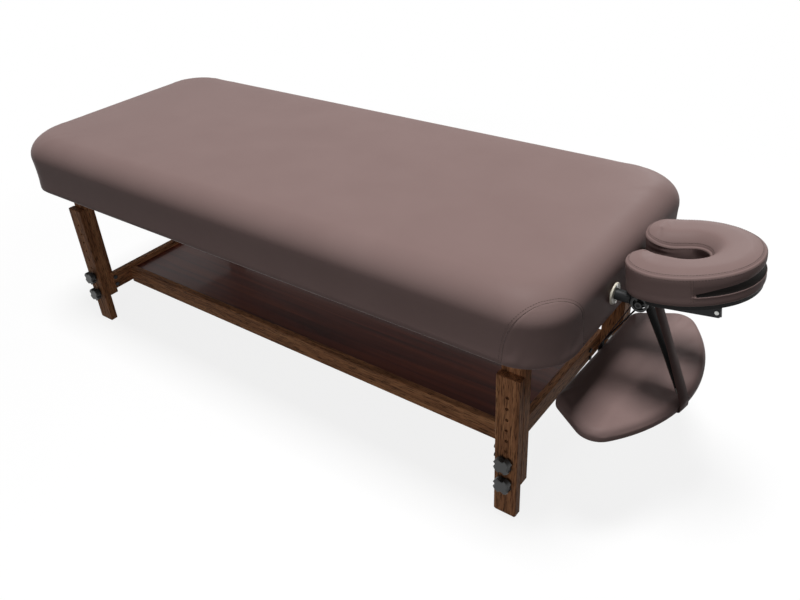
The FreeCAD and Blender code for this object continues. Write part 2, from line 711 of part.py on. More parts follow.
grommets = []
grommet_screws = []
screw_ring = f"(dims.grommet_wide / 4 + {sleeve_wide} / 4)"
for side in (-1, 1):
    seat = (pad_head, f"{side} * {post_y}", "dims.post_height")
    flange = rod(f"grommet_flange_{side}", "dims.grommet_wide", "dims.grommet_flange", *seat, "+x")
    doc.recompute()
    soft = doc.addObject("Part::Fillet", f"grommet_soft_{side}")
    soft.Base = flange
    outer = [edge for edge, curve in enumerate(flange.Shape.Edges, 1)
             if len(curve.Vertexes) == 1 and curve.CenterOfMass.x > flange.Shape.CenterOfMass.x]
    soft.Edges = [(edge, number("dims.grommet_round"), number("dims.grommet_round")) for edge in outer]
    sleeve = rod(f"grommet_sleeve_{side}", sleeve_wide, "dims.apron_setback + dims.apron_thick", *seat, "-x")
    tools = [rod(f"grommet_bore_{side}", "dims.post_wide + 2 * dims.post_fit",
                 "dims.grommet_flange + 2 * dims.apron_setback + 2 * dims.apron_thick",
                 f"{pad_head} + dims.grommet_flange", f"{side} * {post_y}", "dims.post_height", "-x")]
    for rise in (-1, 1):
        height = f"dims.post_height + {rise} * {screw_ring}"
        spot = (f"{pad_head} + dims.grommet_flange", f"{side} * {post_y}", height, "-x")
        name = f"{side}_{rise}"
        tools.append(rod("grommet_eye_" + name, "dims.grommet_screw + 2 * dims.bolt_fit",
                         "dims.grommet_flange", *spot))
        grommet_screws.append(screw("grommet_screw_" + name, "dims.grommet_screw", "dims.grommet_flange",
                                    "dims.grommet_screw_head", "dims.grommet_screw_cap", *spot))
    grommets.append(cut(f"grommet_{side}", joined(f"grommet_whole_{side}", [soft, sleeve]), tools))
node(group("grommets", grommets), "grommets")
node(group("grommet_screws", grommet_screws), "grommet_screws")

post_start = f"({pad_head} - dims.post_depth)"
pin_x = f"({pivot_x} - dims.lug_neck + dims.post_pin)"
tube_end = f"({pivot_x} - dims.lug_neck + dims.edge_ease)"
post_pins = []
for label, side in (("post_near", -1), ("post_far", 1)):
    axis_y = f"{side} * {post_y}"
    tube = rod(label + "_tube", "dims.post_wide", f"{tube_end} - {post_start}", post_start, axis_y,
               "dims.post_height", "+x")
    hollow = rod(label + "_hollow", "dims.post_wide - 2 * dims.post_wall",
                 f"{tube_end} - {post_start} - dims.lug_neck", post_start, axis_y, "dims.post_height", "+x")
    eye = rod(label + "_eye", "dims.post_wide", "dims.lug_thick", pivot_x,
              f"{axis_y} - dims.lug_thick / 2", "dims.post_height", "+y")
    neck = block(label + "_neck", "dims.lug_neck", "dims.lug_thick", "dims.post_wide",
                 f"{pivot_x} - dims.lug_neck", f"{axis_y} - dims.lug_thick / 2",
                 "dims.post_height - dims.post_wide / 2")
    pivot_hole = rod(label + "_pivot_hole", "dims.pivot_rod + 2 * dims.bolt_fit", "2 * dims.lug_thick",
                     pivot_x, f"{axis_y} - dims.lug_thick", "dims.post_height", "+y")
    pin_hole = rod(label + "_pin_hole", "dims.post_pin + 2 * dims.bolt_fit", "2 * dims.post_wide",
                   pin_x, axis_y, "dims.post_height - dims.post_wide", "+z")
    body = joined(label + "_body", [cut(label + "_pipe", tube, [hollow]), eye, neck])
    node(cut(label, body, [pivot_hole, pin_hole]), label)
    post_pins.append(rod(label + "_pin", "dims.post_pin", "dims.post_wide + 2 * dims.post_pin_proud",
                         pin_x, axis_y, "dims.post_height - dims.post_wide / 2 - dims.post_pin_proud", "+z"))
node(group("post_pins", post_pins), "post_pins")

bar = rod("crossbar_tube", "dims.crossbar_wide", f"2 * {crossbar_half}", pivot_x, f"-{crossbar_half}",
          "dims.post_height", "+y")
bar_bore = rod("crossbar_bore", "dims.pivot_rod + 2 * dims.bolt_fit", f"2 * {crossbar_half}", pivot_x,
               f"-{crossbar_half}", "dims.post_height", "+y")
node(cut("crossbar", bar, [bar_bore]), "crossbar")
knob_seat_y = f"({lug_outer_y} + dims.knob_gap)"
rod_near = f"({knob_seat_y} + dims.headrest_knob_boss - dims.edge_ease)"
rod_far = f"({lug_outer_y} + dims.rod_nut_thick + 2 * dims.edge_ease)"
through = rod("pivot_rod", "dims.pivot_rod", f"{rod_near} + {rod_far}", pivot_x, f"-{rod_near}",
              "dims.post_height", "+y")
node(through, "pivot_rod")
hexagon = doc.addObject("Part::Prism", "pivot_nut_hexagon")
hexagon.Polygon = 6
hexagon.setExpression("Circumradius", "dims.rod_nut / 2")
hexagon.setExpression("Height", "dims.rod_nut_thick")
place(hexagon, pivot_x, lug_outer_y, "dims.post_height", "+y")
nut_bore = rod("pivot_nut_bore", "dims.pivot_rod + 2 * dims.bolt_fit", "dims.rod_nut_thick",
               pivot_x, lug_outer_y, "dims.post_height", "+y")
node(cut("pivot_nut", hexagon, [nut_bore]), "pivot_nut")


def headrest_knob():
    # Round hand wheel: an open rim, flat spokes and a hub
    body = doc.addObject("PartDesign::Body", "headrest_knob")
    rim = sketch_on(body, "XY_Plane", "headrest_knob_rim")
    circle(rim, "0", "0", "dims.headrest_knob_wide")
    circle(rim, "0", "0", "dims.headrest_knob_wide - 2 * dims.headrest_knob_rim")
    feature(body, "Pad", "headrest_knob_rim_pad", rim, "dims.headrest_knob_thick")
    hub = sketch_on(body, "XY_Plane", "headrest_knob_hub")
    circle(hub, "0", "0", "dims.headrest_knob_hub")
    half = "dims.headrest_knob_spoke / 2"
    reach = "dims.headrest_knob_wide / 2 - dims.headrest_knob_rim / 2"
    spoke = sketch_on(body, "XY_Plane", "headrest_knob_spoke")
    polygon(spoke, [("0", f"-{half}"), (reach, f"-{half}"), (reach, half), ("0", half)])
    web = feature(body, "Pad", "headrest_knob_web", spoke, "dims.headrest_knob_web")
    doc.recompute()
    wheel = body.newObject("PartDesign::PolarPattern", "headrest_knob_wheel")
    wheel.Originals = [web]
    wheel.Axis = (spoke, ["N_Axis"])
    wheel.Angle = 360
    wheel.setExpression("Occurrences", "dims.headrest_knob_spokes")
    body.Tip = wheel
    feature(body, "Pad", "headrest_knob_boss", hub, "dims.headrest_knob_boss")
    eye = sketch_on(body, "XY_Plane", "headrest_knob_eye")
    circle(eye, "0", "0", "dims.pivot_rod + 2 * dims.bolt_fit")
    feature(body, "Pocket", "headrest_knob_bore", eye, both_ways=True)
    place(body, pivot_x, f"-{knob_seat_y}", "dims.post_height", "-y")
    return node(body, "headrest_knob")


headrest_knob()

# Headrest arms, platform and face cushion, drawn level about the pivot and then tilted

tilt = FreeCAD.Placement(
    FreeCAD.Vector(number(pivot_x), 0, number("dims.post_height")),
    FreeCAD.Rotation(FreeCAD.Vector(0, 1, 0), -number("dims.headrest_tilt")))


def tilted(thing, label):
    # The finished piece carries the tilt, and its parts stay level beneath it
    thing.Placement = tilt
    return node(thing, label)


rivet_spots = ["dims.cleat_inset", "dims.arm_length"]
rivet_bore = "dims.arm_rivet + 2 * dims.bolt_fit"
cleat_screw_y = f"({arm_inner_y} - dims.cleat_screw_in)"
cleats = []
rivets = []
cleat_screws = []
for label, side in (("headrest_arm_near", -1), ("headrest_arm_far", 1)):
    low_y = arm_inner_y if side > 0 else f"-{arm_outer_y}"
    inwards = "-y" if side > 0 else "+y"
    bar = block(label + "_bar", "dims.arm_length + dims.arm_end", "dims.arm_thick", "dims.arm_height",
                "0", low_y, "-dims.arm_height / 2")
    doc.recompute()
    soft = doc.addObject("Part::Fillet", label + "_soft")
    soft.Base = bar
    ends = [edge for edge, curve in enumerate(bar.Shape.Edges, 1)
            if abs(curve.tangentAt(curve.FirstParameter).y) > 0.5 and curve.CenterOfMass.x > 1]
    soft.Edges = [(edge, number("dims.arm_end_round"), number("dims.arm_end_round")) for edge in ends]
    eye = rod(label + "_eye", "dims.arm_height", "dims.arm_thick", "0", low_y, "0", "+y")
    tools = [rod(label + "_pivot_hole", "dims.pivot_rod + 2 * dims.bolt_fit", "dims.arm_thick",
                 "0", low_y, "0", "+y")]
    for count, spot in enumerate(rivet_spots):
        name = f"{label}_{count}"
        tools.append(rod(name + "_rivet_hole", rivet_bore, "dims.arm_thick", spot, low_y, "0", "+y"))
        rivets.append(screw(name + "_rivet", "dims.arm_rivet", "dims.arm_thick + dims.cleat_thick",
                            "dims.arm_rivet_head", "dims.arm_rivet_cap",
                            spot, f"{side} * {arm_outer_y}", "0", inwards))
        # Each cleat is an angle: one leaf on the arm's inner face, one under the platform
        start = f"{spot} - dims.cleat_long / 2"
        wall_y = f"{arm_inner_y} - dims.cleat_thick" if side > 0 else f"-{arm_inner_y}"
        leaf_y = f"{arm_inner_y} - dims.cleat_wide" if side > 0 else f"-{arm_inner_y}"
        tall = "dims.platform_lift + dims.arm_height / 2"
        wall = block(name + "_wall", "dims.cleat_long", "dims.cleat_thick", tall,
                     start, wall_y, "-dims.arm_height / 2")
        leaf = block(name + "_leaf", "dims.cleat_long", "dims.cleat_wide", "dims.cleat_thick",
                     start, leaf_y, "dims.platform_lift - dims.cleat_thick")
        leaf_z = "dims.platform_lift - dims.cleat_thick"
        screw_spot = (spot, f"{side} * {cleat_screw_y}", leaf_z, "+z")
        screw_bore = "dims.cleat_screw + 2 * dims.bolt_fit"
        drills = [rod(name + "_wall_hole", rivet_bore, "dims.cleat_thick", spot, wall_y, "0", "+y"),
                  rod(name + "_leaf_hole", screw_bore, "dims.cleat_thick", *screw_spot)]
        cleats.append(cut(name + "_cleat", joined(name + "_angle", [wall, leaf]), drills))
        cleat_screws.append(screw(name + "_screw", "dims.cleat_screw",
                                  "dims.cleat_thick + dims.cleat_screw_bite", "dims.cleat_screw_head",
                                  "dims.cleat_screw_cap", *screw_spot))
    tilted(cut(label, joined(label + "_flat", [soft, eye]), tools), label)
tilted(group("arm_cleats", cleats), "arm_cleats")
tilted(group("arm_rivets", rivets), "arm_rivets")
tilted(group("cleat_screws", cleat_screws), "cleat_screws")


def bearing(start, end):
    return math.degrees(math.atan2(end[1] - start[1], end[0] - start[0]))


def mirrored_ring(half, inset, height):
    # A run of arcs on the far side, closed by its mirror image; each arc shrinks or grows with the inset
    arcs = []
    for middle, radius, shrink, start, end in half:
        arcs.append(arc(middle, radius - shrink * inset, start, end, height))
    for middle, radius, shrink, start, end in reversed(half):
        arcs.append(arc((middle[0], -middle[1]), radius - shrink * inset, -end, -start, height))
    return ring_of(arcs)


def horseshoe_arcs():
    # Far end, flatter side and prong tip touch each other; straight runs join tip, slot corner and face hole
    far_x = number(cushion_far)
    far_radius = number("dims.cushion_far_radius")
    side_radius = number("dims.cushion_side_radius")
    tip_radius = number("dims.cushion_tip_radius")
    hole_radius = number("dims.cushion_hole_radius")
    far = (far_x - far_radius, 0.0)
    tip_end = far_x - number("dims.cushion_length")
    hole = (tip_end + number("dims.cushion_hole_in"), 0.0)
    tip_x = tip_end + tip_radius
    tip = (tip_x, number("dims.cushion_tip_side"))
    corner_radius = number("dims.cushion_corner_radius")
    corner = (tip_end + corner_radius, number("dims.cushion_slot / 2") + corner_radius)
    # The side circle holds both the far circle and the tip circle inside it
    reach_far = side_radius - far_radius
    reach_tip = side_radius - tip_radius
    span = math.dist(far, tip)
    along = (reach_far ** 2 - reach_tip ** 2 + span ** 2) / (2 * span)
    across = math.sqrt(reach_far ** 2 - along ** 2)
    unit = ((tip[0] - far[0]) / span, (tip[1] - far[1]) / span)
    side = (far[0] + along * unit[0] - across * unit[1], far[1] + along * unit[1] + across * unit[0])
    far_turn = bearing(side, far)
    tip_turn = bearing(side, tip)
    flank = math.degrees(math.acos((corner_radius + hole_radius) / math.dist(corner, hole)))
    slot_turn = bearing(corner, hole) + 360 - flank
    rim = [(far, far_radius, 1, 0, far_turn), (side, side_radius, 1, far_turn, tip_turn)]
    prong = [(tip, tip_radius, 1, tip_turn, 180), (corner, corner_radius, 1, 180, slot_turn),
             (hole, hole_radius, -1, bearing(hole, corner) - flank, 0)]
    return rim, prong


rim_arcs, prong_arcs = horseshoe_arcs()
platform_low = number("dims.platform_lift")
plate = Part.Face(mirrored_ring(rim_arcs, number("dims.platform_inset"), platform_low))
plate = plate.extrude(FreeCAD.Vector(0, 0, number("dims.platform_thick")))
slot_half = number("dims.platform_slot") / 2
slot_end = prong_arcs[-1][0][0] + number("dims.cushion_hole_radius") - slot_half
ample = number("dims.pad_width")
slot_box = Part.makeBox(ample + slot_end, 2 * slot_half, ample, FreeCAD.Vector(-ample, -slot_half, 0))
slot_round = Part.makeCylinder(slot_half, ample, FreeCAD.Vector(slot_end, 0, 0))
start_low = FreeCAD.Vector(number("dims.platform_start") - ample, -ample, 0)
start_box = Part.makeBox(ample, 2 * ample, ample, start_low)
screw_holes = []
for spot in rivet_spots:
    for side in (-1, 1):
        foot = FreeCAD.Vector(number(spot), side * number(cleat_screw_y), platform_low)
        screw_holes.append(Part.makeCylinder(number("dims.cleat_screw / 2 + dims.bolt_fit"),
                                             number("dims.cleat_screw_bite"), foot))
plate = plate.cut([slot_box, slot_round, start_box] + screw_holes)
tilted(formed("headrest_platform", plate), "headrest_platform")

band_low = number(platform_top)
band = number("dims.cushion_band")
bulge = number("dims.cushion_bulge")
crown = number("dims.cushion_crown")
crown_inset = number("dims.cushion_crown_inset")
# Steps in and share of the band's height: drawn in at the foot and the seam, full between them
band_steps = [(3, 0), (1, 0.08), (0, 0.3), (0, 0.6), (1, 0.9), (2, 1)]
cushion_sections = [(bulge * steps, band * share) for steps, share in band_steps]
for share in (0.3, 0.6, 1.0):
    rise = math.sqrt(1 - (1 - share) ** 2)
    cushion_sections.append((2 * bulge + (crown_inset - 2 * bulge) * share, band + crown * rise))
outline = rim_arcs + prong_arcs
cushion_rings = [mirrored_ring(outline, inset, band_low + rise) for inset, rise in cushion_sections]
# The cushion is pressed on by hand and sits a little turned on its platform
cushion = Part.makeLoft(cushion_rings, True, True)
cushion.rotate(FreeCAD.Vector(*rim_arcs[0][0], 0), FreeCAD.Vector(0, 0, 1), number("dims.cushion_turn"))
tilted(formed("face_cushion", cushion), "face_cushion")

# Hanging arm shelf: board, pad and two straps round the crossbar, drawn about the pivot

pivot_place = FreeCAD.Placement(FreeCAD.Vector(number(pivot_x), 0, 0), FreeCAD.Rotation())


shelf_turn = FreeCAD.Rotation(FreeCAD.Vector(0, 0, 1), number("dims.arm_shelf_yaw"))
shelf_spot = FreeCAD.Vector(number(pivot_x), number("dims.arm_shelf_shift"), 0)
shelf_place = FreeCAD.Placement(shelf_spot, shelf_turn)


def hung(thing, label, where=pivot_place):
    thing.Placement = where
    return node(thing, label)


def shelf_outline(inset, height):
    # Bowed front, large front corners, straight flanks and a straight rear
    front = number("dims.arm_shelf_front")
    corner_radius = number("dims.arm_corner_radius")
    rear_radius = number("dims.arm_rear_radius")
    corner = (number("dims.arm_corner_x"), number("dims.arm_corner_y"))
    rear = (number("dims.arm_shelf_rear") + rear_radius, number("dims.arm_rear_y"))
    # The bow is the circle through the front that holds the corner circles inside it
    reach = front - corner[0]
    bow_radius = (reach ** 2 + corner[1] ** 2 - corner_radius ** 2) / (2 * (reach - corner_radius))
    bow = (front - bow_radius, 0.0)
    bow_turn = bearing(bow, corner)
    lean = math.degrees(math.acos((corner_radius - rear_radius) / math.dist(corner, rear)))
    flank_turn = (bearing(corner, rear) - lean) % 360
    half = [(bow, bow_radius, 1, 0, bow_turn), (corner, corner_radius, 1, bow_turn, flank_turn),
            (rear, rear_radius, 1, flank_turn, 180)]
    return mirrored_ring(half, inset, height)


shelf_low = number("dims.arm_shelf_bottom")
board_thick = number("dims.arm_board_thick")
board = Part.Face(shelf_outline(number("dims.arm_board_inset"), shelf_low))
board = board.extrude(FreeCAD.Vector(0, 0, board_thick))
hung(formed("arm_board", board), "arm_board", shelf_place)
pad_low = number(arm_pad_z)
roll = number("dims.arm_pad_roll")
thick = number("dims.arm_pad_thick")
# The cover goes down over the edge of the board
shelf_sections = [(number("dims.arm_pad_tuck"), -board_thick), (0, roll - board_thick), (0, thick - roll),
                  (roll * 0.3, thick - roll * 0.3), (roll, thick),
                  (number("dims.arm_pad_crown_in"), thick + number("dims.arm_pad_crown"))]
shelf_rings = [shelf_outline(inset, pad_low + rise) for inset, rise in shelf_sections]
arm_pad = Part.makeLoft(shelf_rings, True, True).cut(board)
hung(formed("arm_pad", arm_pad), "arm_pad", shelf_place)


def touch(axis, radius, spot, hand):
    # Where the straight run from a spot touches the bar, on one side of it or the other
    away = spot.sub(axis)
    angle = math.atan2(away.z, away.x) + hand * math.acos(radius / away.Length)
    return axis.add(FreeCAD.Vector(radius * math.cos(angle), 0, radius * math.sin(angle)))


def strip(points, inner, outer, toward):
    # Flat band beside a run of points, between two distances from it, with mitred bends
    normals = []
    for first, last in zip(points, points[1:]):
        run = last.sub(first).normalize()
        normals.append(FreeCAD.Vector(-run.z * toward, 0, run.x * toward))
    offsets = [normals[0]]
    for before, after in zip(normals, normals[1:]):
        offsets.append(before.add(after).multiply(1 / (1 + before.dot(after))))
    offsets.append(normals[-1])
    near = [point.add(FreeCAD.Vector(offset).multiply(inner)) for point, offset in zip(points, offsets)]
    away = [point.add(FreeCAD.Vector(offset).multiply(outer)) for point, offset in zip(points, offsets)]
    corners_round = near + away[::-1]
    return Part.Face(Part.makePolygon(corners_round + corners_round[:1]))


def strap(toward):
    # Sewn loop round the crossbar, then a single run down and round one edge of the shelf
    strap_thick = number("dims.strap_thick")
    radius = number("dims.crossbar_wide / 2 + dims.strap_gap")
    axis = FreeCAD.Vector(0, 0, number("dims.post_height"))
    edge = number("dims.arm_shelf_front - dims.strap_bow" if toward > 0 else "dims.arm_shelf_rear")
    edge += toward * number("dims.strap_edge_gap")
    low = shelf_low - number("dims.strap_gap")
    shoulder = FreeCAD.Vector(edge, 0, pad_low + thick - roll)
    under = FreeCAD.Vector(edge, 0, low)
    tail = FreeCAD.Vector(edge - toward * number("dims.strap_tail"), 0, low)
    start = touch(axis, radius, shoulder, toward)
    rise = start.sub(shoulder).normalize()
    seam = shoulder.add(rise.multiply(number("dims.strap_seam")))
    end = touch(axis, radius, seam, -toward)
    crest = axis.add(FreeCAD.Vector(0, 0, radius))
    over = Part.Arc(end, crest, start).toShape()
    loop = Part.Wire([over, Part.makeLine(start, seam), Part.makeLine(seam, end)])
    ring = Part.Face(loop.makeOffset2D(strap_thick)).cut(Part.Face(loop))
    run = strip([seam, shoulder, under, tail], 0, strap_thick, toward)
    climb = end.sub(seam).normalize()
    tab_start = seam.add(FreeCAD.Vector(climb).multiply(strap_thick))
    tab_end = tab_start.add(FreeCAD.Vector(climb).multiply(number("dims.strap_tab")))
    tab = strip([tab_start, tab_end], strap_thick, strap_thick + number("dims.strap_tab_thick"), toward)
    wide = number("dims.strap_wide")
    shift = FreeCAD.Vector(0, -toward * number("dims.strap_offset") - wide / 2, 0)
    solids = [face.extrude(FreeCAD.Vector(0, wide, 0)).translated(shift) for face in (ring, run, tab)]
    return solids[0].fuse(solids[1]).removeSplitter(), solids[2]


front_strap, front_tab = strap(1)
rear_strap, rear_tab = strap(-1)
hung(formed("strap_front", front_strap), "strap_front")
hung(formed("strap_rear", rear_strap), "strap_rear")
hung(formed("strap_tabs", Part.makeCompound([front_tab, rear_tab])), "strap_tabs")

# Check every feature and write one file for each piece

doc.recompute()
for thing in doc.Objects:
    if "Invalid" in thing.State or "Error" in thing.State:
        raise RuntimeError(f"{thing.Label} failed: {thing.State}")
for thing in nodes:
    if thing.Shape.isNull() or not thing.Shape.isValid() or not thing.Shape.Solids:
        raise RuntimeError(f"{thing.Label} has no valid solid")
os.makedirs("parts", exist_ok=True)
for thing in nodes:
    thing.Shape.exportStep(f"parts/{thing.Label}.step")
print(len(nodes), "pieces written")
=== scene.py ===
import math

import bmesh
import bpy
import numpy as np
from mathutils import Matrix, Vector
from mathutils.bvhtree import BVHTree


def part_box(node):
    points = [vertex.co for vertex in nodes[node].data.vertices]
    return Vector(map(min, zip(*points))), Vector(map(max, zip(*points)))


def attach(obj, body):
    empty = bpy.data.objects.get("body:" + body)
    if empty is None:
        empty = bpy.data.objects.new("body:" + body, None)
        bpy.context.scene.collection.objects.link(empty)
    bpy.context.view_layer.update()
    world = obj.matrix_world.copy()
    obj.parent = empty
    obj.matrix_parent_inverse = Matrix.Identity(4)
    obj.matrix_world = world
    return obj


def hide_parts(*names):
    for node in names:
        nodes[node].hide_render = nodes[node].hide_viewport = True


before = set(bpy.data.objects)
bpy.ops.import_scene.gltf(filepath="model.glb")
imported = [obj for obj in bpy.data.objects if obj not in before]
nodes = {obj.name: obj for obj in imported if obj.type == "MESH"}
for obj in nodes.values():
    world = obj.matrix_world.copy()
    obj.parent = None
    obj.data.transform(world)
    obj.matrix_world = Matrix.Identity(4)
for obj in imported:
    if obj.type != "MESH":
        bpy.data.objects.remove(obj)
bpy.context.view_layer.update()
scene = bpy.context.scene
mm = 0.001
perMetre = 1000
print("frame loaded with", len(nodes), "nodes")

# Camera: matched to the edges of the top, the legs and the headrest in an 800 x 600 frame

shot = {
    "lens": 35.387,
    "sensor": 36.0,
    "clipEnd": 60,
    "place": (1.3046, -1.4899, 1.4944),
    "right": (0.80394, 0.59231, -0.05341),
    "up": (-0.28753, 0.46573, 0.83691),
    "back": (0.52059, -0.65747, 0.54472),
}
cameraData = bpy.data.cameras.new("tableCamera")
cameraData.sensor_width = shot["sensor"]
cameraData.lens = shot["lens"]
cameraData.clip_end = shot["clipEnd"]
camera = bpy.data.objects.new("tableCamera", cameraData)
turn = Matrix((shot["right"], shot["up"], shot["back"])).transposed()
camera.matrix_world = Matrix.Translation(shot["place"]) @ turn.to_4x4()
scene.collection.objects.link(camera)
scene.camera = camera

# Colour and node helpers

# the Mix node repeats its socket names for each kind of data, so its colour sockets go by number
mixA, mixB, mixResult = 6, 7, 2


def hexLinear(code):
    parts = [int(code[i:i + 2], 16) / 255 for i in (0, 2, 4)]
    return [c / 12.92 if c <= 0.04045 else ((c + 0.055) / 1.055) ** 2.4 for c in parts] + [1.0]


def addNode(tree, kind, values=None, links=None, **settings):
    node = tree.nodes.new(kind)
    for name, value in settings.items():
        setattr(node, name, value)
    for name, value in (values or {}).items():
        node.inputs[name].default_value = value
    for name, source in (links or {}).items():
        tree.links.new(source, node.inputs[name])
    return node


def startMaterial(name, **sockets):
    material = bpy.data.materials.new(name)
    material.use_nodes = True
    tree = material.node_tree
    tree.nodes.clear()
    shader = addNode(tree, "ShaderNodeBsdfPrincipled", sockets)
    addNode(tree, "ShaderNodeOutputMaterial", links={"Surface": shader.outputs["BSDF"]})
    place = addNode(tree, "ShaderNodeTexCoord").outputs["Object"]
    return material, tree, shader, place


def fillRamp(ramp, stops):
    elements = ramp.color_ramp.elements
    while len(elements) < len(stops):
        elements.new(0.5)
    for element, (spot, code) in zip(elements, stops):
        element.position = spot
        element.color = hexLinear(code)


# Coated vinyl upholstery: knitted cloth with a PVC face, embossed in the roller.
# Soft broad sheen with no sparkle, a pebble grain and faint cloudy tone.

brownVinyl = {
    "pale": "7e6a67",
    "deep": "7b6764",
    "cloudMm": 140,
    "pebbleMm": 2.4,  # the real pebble is about 1 mm, drawn coarser so that it shows
    "pebbleDepthMm": 0.10,
    "rough": (0.4, 0.5),
    "specular": 0.03,  # the matt top coat reflects less than bare PVC
}


def makeVinyl(name, look):
    material, tree, shader, place = startMaterial(name, **{"Specular IOR Level": look["specular"]})
    cloud = addNode(tree, "ShaderNodeTexNoise", {"Scale": perMetre / look["cloudMm"], "Detail": 3},
                    {"Vector": place})
    tone = addNode(tree, "ShaderNodeValToRGB", links={"Fac": cloud.outputs["Fac"]})
    fillRamp(tone, [(0.3, look["deep"]), (0.7, look["pale"])])
    tree.links.new(tone.outputs["Color"], shader.inputs["Base Color"])
    pebble = addNode(tree, "ShaderNodeTexVoronoi", {"Scale": perMetre / look["pebbleMm"]}, {"Vector": place},
                     feature="SMOOTH_F1").outputs["Distance"]
    low, high = look["rough"]
    shine = addNode(tree, "ShaderNodeMapRange", {"To Min": low, "To Max": high}, {"Value": pebble})
    tree.links.new(shine.outputs["Result"], shader.inputs["Roughness"])
    bump = addNode(tree, "ShaderNodeBump", {"Strength": 0.35, "Distance": look["pebbleDepthMm"] * mm},
                   {"Height": pebble}, invert=True)
    tree.links.new(bump.outputs["Normal"], shader.inputs["Normal"])
    return material


vinyl = makeVinyl("coatedVinylBrown", brownVinyl)
# painted shade: the straps' facing is the same cloth in a darker brown, for straps that hang in shade
strapVinylPaintedShade = makeVinyl("coatedVinylBrownPaintedShade", {**brownVinyl, "pale": "5b4643", "deep": "4e3b38"})

# Walnut-stained beech, planed and lacquered in satin: long darker streaks along the piece, fine open pores.

walnutStain = {
    "dark": "6e4a33",
    "mid": "b07a56",
    "pale": "cb946a",
    "figureMm": 14,
    "poreMm": 1.6,  # pores are 0.2 mm wide, drawn coarser so that they show
    "stretch": 16,
    "poreDepthMm": 0.15,
}


def makeWood(name, look, along):
    material, tree, shader, place = startMaterial(name, **{"Roughness": 0.5, "Specular IOR Level": 0.04})
    scale = [1.0, 1.0, 1.0]
    scale[along] = 1 / look["stretch"]
    run = addNode(tree, "ShaderNodeMapping", {"Scale": scale}, {"Vector": place}).outputs["Vector"]
    figure = addNode(tree, "ShaderNodeTexNoise",
                     {"Scale": perMetre / look["figureMm"], "Detail": 5, "Distortion": 0.7}, {"Vector": run})
    pore = addNode(tree, "ShaderNodeTexNoise", {"Scale": perMetre / look["poreMm"], "Detail": 2},
                   {"Vector": run}).outputs["Fac"]
    tone = addNode(tree, "ShaderNodeValToRGB", links={"Fac": figure.outputs["Fac"]})
    fillRamp(tone, [(0.28, look["dark"]), (0.5, look["mid"]), (0.72, look["pale"])])
    streak = addNode(tree, "ShaderNodeValToRGB", links={"Fac": pore})
    fillRamp(streak, [(0.36, "8a8a8a"), (0.5, "ffffff")])
    wood = addNode(tree, "ShaderNodeMix", {"Factor": 1.0},
                   {mixA: tone.outputs["Color"], mixB: streak.outputs["Color"]},
                   data_type="RGBA", blend_type="MULTIPLY")
    tree.links.new(wood.outputs[mixResult], shader.inputs["Base Color"])
    bump = addNode(tree, "ShaderNodeBump", {"Strength": 0.3, "Distance": look["poreDepthMm"] * mm},
                   {"Height": pore})
    tree.links.new(bump.outputs["Normal"], shader.inputs["Normal"])
    return material


walnut = [makeWood("walnutStainedBeech" + axis, walnutStain, along) for along, axis in enumerate("XYZ")]

# Birch plywood and pine of the hidden carcass: pale, raw, with faint grain.

birch = makeWood("birchPlywoodRaw", {
    "dark": "a98a62", "mid": "c2a379", "pale": "d3b88f", "figureMm": 22, "poreMm": 2.0, "stretch": 14,
    "poreDepthMm": 0.1}, 0)

# Mahogany veneer under poured gloss lacquer: dark red ribbon figure seen through a clear hard shine.

glossShelf = {"dark": "3a1812", "mid": "5f2c21", "pale": "7a3f2c", "figureMm": 26, "stretch": 24}
mahogany, tree, shader, place = startMaterial("mahoganyVeneerGloss", **{
    "Roughness": 0.4, "Specular IOR Level": 0.15, "Coat Weight": 0.13, "Coat Roughness": 0.08})
run = addNode(tree, "ShaderNodeMapping", {"Scale": (1 / glossShelf["stretch"], 1, 1)}, {"Vector": place})
ribbon = addNode(tree, "ShaderNodeTexNoise",
                 {"Scale": perMetre / glossShelf["figureMm"], "Detail": 6, "Distortion": 0.5},
                 {"Vector": run.outputs["Vector"]})
tone = addNode(tree, "ShaderNodeValToRGB", links={"Fac": ribbon.outputs["Fac"]})
fillRamp(tone, [(0.3, glossShelf["dark"]), (0.5, glossShelf["mid"]), (0.72, glossShelf["pale"])])
tree.links.new(tone.outputs["Color"], shader.inputs["Base Color"])

# Finishes of one tone, broken up by a fine texture that can also vary the shine and stand in low relief.
# The relief is given as strength and depth in mm.

